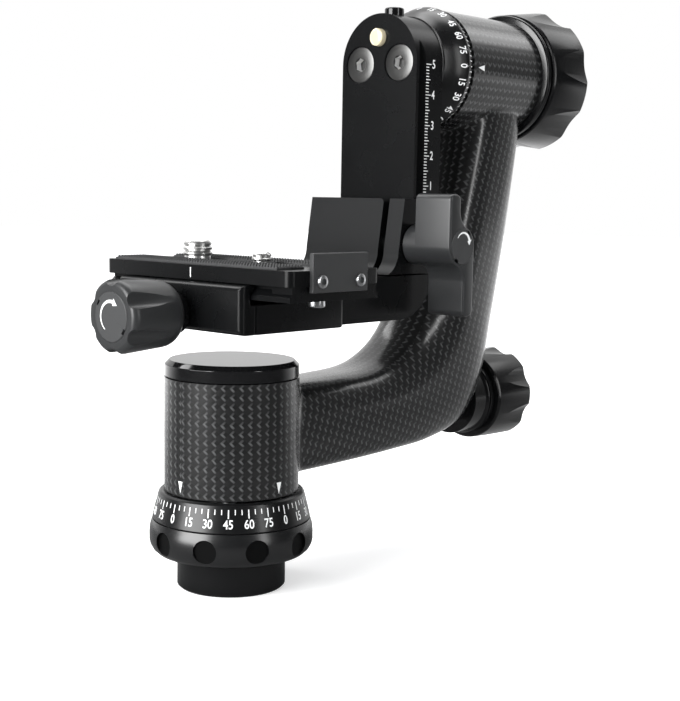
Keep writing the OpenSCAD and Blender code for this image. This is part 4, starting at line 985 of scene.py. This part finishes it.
def makeCarriage():
    c = carriage
    side, wall = c["sideY"] - 1, c["slitY"] + c["slit"]
    cuts = [channelCutter(-c["channelY"], c["channelY"]),
            block((c["right"] + 8, 80), (side, wall), (head["platZ"], 130)),
            block(c["notchX"], c["notchY"], (head["platZ"], 130)),
            rod("Y", c["screwR"], c["slitY"], 12, wingAxis)]
    bm = plate(carriageOutline(), "Y", c["sideY"], c["leftY"])
    for cut in cuts:
        bm = combine(bm, [cut])
    finishUpright(bm, "carriageBlock", "platform", "carriage", (c["leftY"], wall), 1.5, bevel=0.4)


def makeHeightJaw():
    c = carriage
    side, wall = c["sideY"] - 1, c["slitY"] + 1
    bm = plate(carriageOutline(), "Y", c["sideY"], c["slitY"])
    bm = combine(bm, [block((c["right"] + 12, 80), (side, wall), (head["platZ"] + 0.5, 130))], "INTERSECT")
    bm = combine(bm, [channelCutter(-c["channelY"], wall)])
    bm = combine(bm, [rod("Y", c["jawBoreR"], side, wall, wingAxis)])
    finishUpright(bm, "heightJaw", "height_clamp", "height_jaw", (c["sideY"], c["slitY"]), 1.2,
                  bevel=0.6, segments=4)


makeCarriage()
makeHeightJaw()
print("carriage ready")


wing = {"faceY": -42.1, "depth": 14.4, "hubR": 6.5, "blade": 5.4, "short": 16.6, "long": 22.8, "discR": 5.8,
        "endY": -22.5, "rootR": 6, "tipR": 2.2, "boreR": 3.02, "bossR": 6.2}


def bladeOutline(length):
    # half of the S: hub, inner curve, rounded tip and outer side
    r, q, t = wing["hubR"], wing["rootR"], wing["tipR"]
    side = wing["blade"] - r
    x = side + q
    z = math.sqrt((r + q) ** 2 - x ** 2)
    turn = math.degrees(math.atan2(z, x))
    return (arc(0, 0, r, 0, turn, 20) + arc(x, z, q, 180 + turn, 180, 20)
            + arc(side - t, length - t, t, 0, 90, 10) + arc(t - r, length - t, t, 90, 180, 10))


def makeWing():
    w, face, x0, z0 = wing, wing["faceY"], carriage["wingX"], carriage["wingZ"]
    outline = bladeOutline(w["short"]) + [(-x, -z) for x, z in bladeOutline(w["long"])]
    outline = [p for p, q in zip(outline, outline[-1:] + outline) if math.dist(p, q) > 0.01]
    blades = plate([(x0 + x, z0 + z) for x, z in outline], "Y", face, face + w["depth"])
    neck = rod("Y", w["hubR"] - 0.02, face + 6, w["endY"], wingAxis, 96)
    seats = [rod("Y", w["discR"] + 0.05, face - 1, face + 1.4, wingAxis, 96),
             rod("Y", w["boreR"], face + 4, w["endY"] + 1, wingAxis, 48)]
    bm = combine(combine(blades, [neck], "UNION"), seats)
    roundEdges(bm, lambda co: abs(co.y - face) < 0.01 and math.hypot(co.x - x0, co.z - z0) > w["bossR"],
               0.9, 4)
    place(bm, "wingKnob", "wing", "greyPlastic", "wing_knob", "grey_plastic", bevel=0.15, segments=2,
          angle=40)


def capDisc(name, body, node, axis, face, r, centre):
    # a push-in disc with two pry slots at its rim, its outer face on the axis's low side
    out, rim, low = face - 0.2, face - 0.02, face + 1.35
    seat = list(centre)
    seat["XYZ".index(axis)] += out
    slots = []
    for turn in (0.6, 3.74):
        slot = block((-0.9, 0.9), (r - 0.9, r + 0.5), (-0.9, 0.9))
        slots.append(moved(spun(slot, turn, "Z"), axis, seat))
    bm = combine(lathe([(low, 0), (low, r), (rim, r), (out, r - 0.25), (out, 0)], 96, axis, centre), slots)
    place(bm, name, body, "discPlastic", node, "disc_plastic", bevel=0.08, segments=2)


def around(r, angle):
    return r * math.cos(angle), r * math.sin(angle)


def wrapped(bm, where):
    for v in bm.verts:
        v.co = where(v.co)
    return bm


# half widths in millimetres, the point's length in degrees
arrow = {"steps": 32, "tail": 0.12, "growth": 0.36, "point": 26, "pointHalf": 1.1, "z": (0.02, 0.06)}


def arcArrow(name, body, r, start, end, where):
    # a curved arrow that tapers to its tail, laid in XY and carried to its place
    low, high = [], []
    for k in range(arrow["steps"] + 1):
        angle = math.radians(start + (end - start) * k / arrow["steps"])
        half = arrow["tail"] + arrow["growth"] * k / arrow["steps"]
        low.append(around(r - half, angle))
        high.append(around(r + half, angle))
    angle, tip, half = math.radians(end), math.radians(end - arrow["point"]), arrow["pointHalf"]
    point = [around(r + half, angle), around(r, tip), around(r - half, angle)]
    bm = joined(plate(low + high[::-1], "Z", *arrow["z"]), plate(point, "Z", *arrow["z"]))
    place(wrapped(bm, where), name, body, "ink", slot="disc_plastic")


makeWing()
capDisc("wingDisc", "wing", "wing_knob_disc", "Y", wing["faceY"], wing["discR"], wingAxis)
arcArrow("wingArrow", "wing", 3.3, 150, 15,
         lambda co: Vector((wingAxis[0] + co.x, wing["faceY"] - 0.2 - co.z, wingAxis[2] + 1.1 + co.y)))
print("wing knob ready")


clamp = {"left": -16.4, "right": 20.95, "half": 28, "jawX": (-22.5, -16.8), "floor": 91.8, "sideX": 18.9,
         "sideZ": 94.85, "neckX": 16.7, "neckZ": 96.75, "axisZ": 87.9, "knobX": -22.9, "faceX": -46.9,
         "neckR": 6.2, "neckL": 3.1, "rearR": 9.9, "faceR": 10.9, "flutes": 6, "fluteR": 3.2,
         "fluteSink": 2.0, "fluteL": 16, "discR": 7.3, "screwR": 3.05, "jawBoreR": 3.3, "knobBoreR": 3.02}
clampAxis = (0, 0, clamp["axisZ"])


def clampPiece(outline, bore, cornerX, cornerR):
    # a length of the clamp's section, bored for the screw, with its two upright corners rounded
    half = clamp["half"]
    bm = combine(plate(outline, "Y", -half, half), [bore])
    roundEdges(bm, lambda co: abs(co.x - cornerX) < 0.01 and abs(abs(co.y) - half) < 0.01, cornerR)
    return bm


def makeClamp():
    c = clamp
    low, top, left, right, floor = head["clampZ"], head["platZ"], c["left"], c["right"], c["floor"]
    outline = [(left, low), (right, low), (right, top), (c["neckX"], top), (c["neckX"], c["neckZ"]),
               (c["sideX"], c["sideZ"]), (c["sideX"], floor), (left, floor)]
    bm = clampPiece(outline, rod("X", c["screwR"], left - 1, 12, clampAxis), right, 1.6)
    place(bm, "clampBody", "platform", "satinBlack", "clamp_body", bevel=0.35)
    a, b = c["jawX"]
    outline = [(a, low), (b, low), (b, floor), (-c["sideX"], floor), (-c["sideX"], c["sideZ"]),
               (b, top - 0.74), (b, top), (a, top)]
    bm = clampPiece(outline, rod("X", c["jawBoreR"], a - 1, b + 1, clampAxis), a, 1.8)
    place(bm, "clampJaw", "plate_clamp", "satinBlack", "clamp_jaw", bevel=0.4)


def makeClampKnob():
    c = clamp
    face, rear, r, wide = c["faceX"], c["knobX"] - c["neckL"], c["rearR"], c["faceR"]
    seat, bore = c["discR"] + 0.05, c["knobBoreR"]
    profile = [(c["knobX"], bore), (c["knobX"], c["neckR"]), (rear, c["neckR"]), *steps(
        rear, r, (0, -2.9), (-0.15, -2.4), (-0.6, -1.75), (-1.2, -1.15), (-2, -0.6), (-3, -0.2), (-4.2, 0),
    ), *steps(face, wide, (2.4, 0), (1.5, -0.08), (0.8, -0.4), (0.3, -0.9), (0.05, -1.4), (0, -1.8)),
        (face, seat), (face + 1.4, seat), (face + 1.4, bore)]
    bm = ringed(profile, 144, "X", clampAxis)
    lean = math.atan(c["fluteSink"] / c["fluteL"] - (wide - r) / (rear - face))
    flutes = []
    for k in range(c["flutes"]):
        flute = spun(rod("X", c["fluteR"], -2, 22), -lean, "Y")
        spun(shifted(flute, 0, 0, wide - c["fluteSink"] + c["fluteR"]), tau * k / c["flutes"], "X")
        flutes.append(shifted(flute, face, 0, c["axisZ"]))
    obj = place(combine(bm, [joined(*flutes)]), "clampKnob", "clamp_handle", "greyPlastic", "clamp_knob",
                "grey_plastic", bevel=0.45, segments=4, angle=22, sharp=28)
    paintFaces(obj, ["satinBlack"], lambda polygon, c: c.x > rear + 0.01)


makeClamp()
makeClampKnob()
capDisc("clampDisc", "clamp_handle", "clamp_knob_disc", "X", clamp["faceX"], clamp["discR"], clampAxis)
arcArrow("clampArrow", "clamp_handle", 4.5, 235, 75,
         lambda co: Vector((clamp["faceX"] - 0.2 - co.z, -co.x, clamp["axisZ"] + co.y)))
print("platform clamp ready")


lens = {"half": 19, "front": -44, "rear": 38.6, "low": 97.7, "top": 102.2, "corner": 2.4, "dovetail": 93.3,
        "sideX": 18.6, "sideZ": 94.7, "neckX": 16.4, "neckZ": 96.6, "block": 8, "largeY": 16.3,
        "smallY": -13}
pad = {"x": (6.4, 17.4), "y": (-37, 35.6), "low": 102.22, "thick": 0.55, "pitch": 1.2, "foot": 0.78,
       "tip": 0.22, "tooth": 0.8, "first": (0.7, 0.8, 0.75)}
cover = {"x": 11.5, "y": (-45.6, -44.05), "z": (95.9, 107.1), "boltX": 8, "boltZ": 99.1}
stops = ((-4.8, -40.6, 0), (4.8, 35.4, 0))


def makePlate():
    d = lens
    r, half, front, rear, low = d["corner"], d["half"], d["front"], d["rear"], d["low"] + 0.1
    x, y0, y1 = half - r, front + r, rear - r
    outline = [p for k, (cx, cy) in enumerate(((x, y1), (-x, y1), (-x, y0), (x, y0)))
               for p in arc(cx, cy, r, 90 * k, 90 * k + 90, 8)]
    side, neck = d["sideX"], d["neckX"]
    section = [(side, d["dovetail"]), (side, d["sideZ"]), (neck, d["neckZ"]), (neck, low)]
    tail = [(-side, d["dovetail"])] + section + [(-a, b) for a, b in section[:0:-1]]
    parts = [plate(tail, "Y", front + 0.6, rear - 1),
             block((1.4 - half, half - 1.4), (front + 0.6, front + 0.6 + d["block"]), (d["dovetail"], low))]
    bm = combine(plate(outline, "Z", d["low"], d["top"]), parts, "UNION")
    cuts = []
    for y, shankR, headR in ((d["largeY"], 4.8, 7.9), (d["smallY"], 3.22, 6.3)):
        cuts.append(rod("Z", shankR, 90, 110, (0, y, 0)))
        cuts.append(rod("Z", headR, 90, d["dovetail"] + 3.2, (0, y, 0)))
    place(combine(bm, cuts), "lensPlate", "plate", "satinBlack", "lens_plate", bevel=0.5, segments=4)


def makePads():
    # rubber strips with fine pyramid teeth
    p = pad
    parts = []
    for s in (-1, 1):
        low, high = sorted((s * p["x"][0], s * p["x"][1]))
        parts.append(block((low, high), p["y"], (p["low"], p["low"] + p["thick"])))
        teeth = bmesh.new()
        rows = int((high - low) / p["pitch"])
        columns = int((p["y"][1] - p["y"][0]) / p["pitch"])
        for n in range(rows * columns):
            x = low + p["first"][0] + p["pitch"] * (n % rows)
            y = p["y"][0] + p["first"][1] + p["pitch"] * (n // rows)
            at = Matrix.Translation((x, y, p["low"] + p["first"][2]))
            matrix = at @ Matrix.Rotation(math.pi / 4, 4, "Z")
            bmesh.ops.create_cone(teeth, cap_ends=True, segments=4, radius1=p["foot"], radius2=p["tip"],
                                  depth=p["tooth"], matrix=matrix)
        parts.append(teeth)
    place(joined(*parts), "platePads", "plate", "rubber", "plate_pads", "pad_rubber")


# camera screws: their heads' and necks' heights are shared
stud = {"headLow": 93.6, "headTop": 96.2, "neckTop": 103.25}


def makeCameraScrew(label, y, top, r, pitch, depth, headR):
    # head, neck and rings of thread under a chamfered top
    low, headLow, headTop = stud["neckTop"], stud["headLow"], stud["headTop"]
    profile = [(headLow, 0), (headLow, headR - 0.3), (headLow + 0.3, headR), (headTop - 0.3, headR),
               (headTop, headR - 0.3), (headTop, r - 0.6), (low, r - 0.6)]
    ridges = int((top - low - 0.2) / pitch)
    start = top - 0.2 - ridges * pitch
    profile += [(start, r - depth)]
    for k in range(ridges):
        z = start + k * pitch
        crest, flank, root = (0.25, 0.4, 1.0) if k == ridges - 1 else (0, 0, depth)
        profile += [(z + pitch * 0.36, r - crest), (z + pitch * 0.62, r - flank), (z + pitch, r - root)]
    profile += [(top, r - 1.3), (top, 0)]
    centre = (0, y, 0)
    metal = turnedMetal("turned screw " + label, (0.80, 0.80, 0.79), "Z", centre)
    place(lathe(profile, 96, "Z", centre), "cameraScrew" + label.title(), "stud_" + label, metal,
          "camera_screw_" + label, "steel", sharp=28)


def makeBolts(name, node, axis, profile, centres, socketR, low, high):
    # small screws of one shape, each with a hexagon socket from low to high
    parts = [combine(lathe(profile, 64, axis, centre), [rod(axis, socketR, low, high, centre, 6)])
             for centre in centres]
    place(joined(*parts), name, "plate", "steel", node, "steel", sharp=30)


def makeCover():
    y, end = cover["y"]
    centres = [(s * cover["boltX"], 0, cover["boltZ"]) for s in (-1, 1)]
    bm = combine(block((-cover["x"], cover["x"]), cover["y"], cover["z"]),
                 [rod("Y", 1.22, y - 1, end + 1, centre, 32) for centre in centres])
    place(bm, "endCover", "plate", "coverGrey", "end_cover", "grey_metal", bevel=0.3)
    profile = steps(y, 0, (-0.9, 0), (-0.9, 1.45), (-0.72, 1.78), (-0.5, 1.9), (-0.02, 1.9), (-0.02, 1.18),
                    (5, 1.18), (5, 0))
    makeBolts("endCoverScrews", "end_cover_screws", "Y", profile, centres, 1.0, y - 2, y + 0.8)
    profile = [(91.4, 0), (91.4, 2.1), (91.75, 2.45), (92.2, 2.5), (93.28, 2.5), (93.28, 1.18), (96.8, 1.18),
               (96.8, 0)]
    makeBolts("plateStopScrews", "plate_stop_screws", "Z", profile, stops, 1.15, 90, 92.6)


makePlate()
makePads()
makeCameraScrew("large", lens["largeY"], 108.6, 4.76, 1.5875, 0.75, 7.6)
makeCameraScrew("small", lens["smallY"], 106.0, 3.17, 1.27, 0.6, 6.0)
makeCover()
print("lens plate ready")


ink = {"lift": 0.03, "thick": 0.03, "narrow": 0.85, "bold": 0.012}
inkLayer = (ink["lift"] - ink["thick"] / 2, ink["lift"] + ink["thick"] / 2)


def glyphs(text, size):
    # a line of figures centred on the origin, a thin solid lying in XY
    curve = bpy.data.curves.new("figures", "FONT")
    curve.body = text
    curve.size = size
    curve.align_x = "CENTER"
    curve.align_y = "CENTER"
    curve.extrude = ink["thick"] / 2
    curve.resolution_u = 4
    curve.offset = ink["bold"] * size
    bm = finishedMesh(linked("figures", curve))
    bmesh.ops.remove_doubles(bm, verts=bm.verts, dist=1e-4)
    bmesh.ops.scale(bm, vec=(ink["narrow"], 1, 1), verts=bm.verts)
    return shifted(bm, 0, 0, ink["lift"])


def wedge(width, low, high):
    # a triangle with its point down
    return plate([(-width / 2, high), (0, low), (width / 2, high)], "Z", *inkLayer)


def upWrap(angle, radius):
    # onto a round wall about the pan axis; radius is its size at a height
    def where(co):
        r = radius(co.y)
        phi = angle + co.x / r
        return Vector((math.cos(phi) * (r + co.z), math.sin(phi) * (r + co.z), co.y))
    return where


def tiltWrap(angle, radius):
    # the same about the tilt axis
    def where(co):
        r = radius(co.y)
        theta = angle + co.x / r
        return Vector((co.y, -math.cos(theta) * (r + co.z), head["tiltZ"] - math.sin(theta) * (r + co.z)))
    return where


def ringMarks(wrap, radius, whole, part, end, size, figureAt):
    # a mark each 5 degrees; each 15 degrees a longer one with its figure
    parts = []
    for degrees in range(0, 360, 5):
        where = wrap(math.radians(degrees), radius)
        width, low = (0.34, whole) if degrees % 15 == 0 else (0.28, part)
        parts.append(wrapped(block((-width / 2, width / 2), (low, end), inkLayer), where))
        if degrees % 15 == 0:
            parts.append(wrapped(shifted(glyphs(str(degrees % 90), size), 0, figureAt), where))
    return joined(*parts)


def makeRingMarks():
    marks = ringMarks(upWrap, lambda z: panBase["scaleLow"] - max(z - 22.4, 0) * 0.25,
                      26.8, 27.9, 29.4, 3.7, 24.95)
    place(marks, "panFigures", "base", "ink", slot="scale_metal")
    parts = [wrapped(wedge(1.9, 32.6, 36.2), upWrap(math.radians(a), lambda z: head["columnR"] + 0.04))
             for a in (180, 270)]
    place(joined(*parts), "panPointers", "pan_arm", "ink", slot="carbon")
    marks = ringMarks(tiltWrap, lambda x: radiusAt(tiltRing["profile"], x) + 0.02,
                      88.9, 89.9, 91.9, 3.4, 87.2)
    place(marks, "tiltFigures", "tilt_arm", "ink", slot="scale_metal")
    pointer = wrapped(wedge(2.0, 94.9, 98.5), tiltWrap(0, lambda x: head["hubR"] + 0.04))
    place(pointer, "tiltPointer", "pan_arm", "ink", slot="carbon")


heightScale = {"x": 71.7, "zero": 116.7, "marks": 51, "half": 0.14, "figureX": 75.6, "figure": 4.0,
               "ten": 2.6, "five": 2.2, "one": 1.5}


def makeHeightScale():
    # millimetre marks on the swing arm's side, a figure each 10 mm
    d = heightScale

    def where(co):
        return Vector((co.x, -swing["half"] - co.z, co.y))

    parts = []
    for k in range(d["marks"]):
        z = d["zero"] + k
        length = d["ten"] if k % 10 == 0 else (d["five"] if k % 5 == 0 else d["one"])
        mark = block((d["x"], d["x"] + length), (z - d["half"], z + d["half"]), inkLayer)
        parts.append(wrapped(mark, where))
        if k % 10 == 0:
            parts.append(wrapped(shifted(glyphs(str(k // 10), d["figure"]), d["figureX"], z), where))
    place(joined(*parts), "heightFigures", "tilt_arm", "ink")
    index = joined(plate([(61.5, 117.0), (63.4, 116.1), (63.4, 117.9)], "Z", *inkLayer),
                   block((63.3, 63.7), (115.3, 118.7), inkLayer))
    wrapped(index, lambda co: Vector((co.x, carriage["sideY"] - co.z, co.y)))
    place(index, "heightIndex", "height_clamp", "ink")
    mark = block((-2.35, -1.95), (98.4, 101.4), inkLayer)
    wrapped(mark, lambda co: Vector((-lens["half"] - co.z, co.x, co.y)))
    place(mark, "plateMark", "plate", "ink")


makeRingMarks()
makeHeightScale()
print("marks ready")


# hidden pieces keep the CAD mesh
hiddenFinish = {
    "steel": ["pan_spindle", "pan_spindle_nut", "ring_screws", "pan_lock_screw", "pan_brake_rod",
              "tilt_lock_screw", "tilt_spindle", "tilt_spindle_nut", "button_spring", "wing_screw",
              "clamp_body_screws", "clamp_guide_pins", "clamp_screw"],
    "bush": ["pan_bushes", "pan_brake_shoe", "tilt_bushes", "tilt_brake_pad"],
    "satinBlack": ["column_sleeve", "hub_sleeve"],
}
for name, nodes in hiddenFinish.items():
    for node in nodes:
        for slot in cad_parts[node].material_slots:
            slot.material = finish[name]
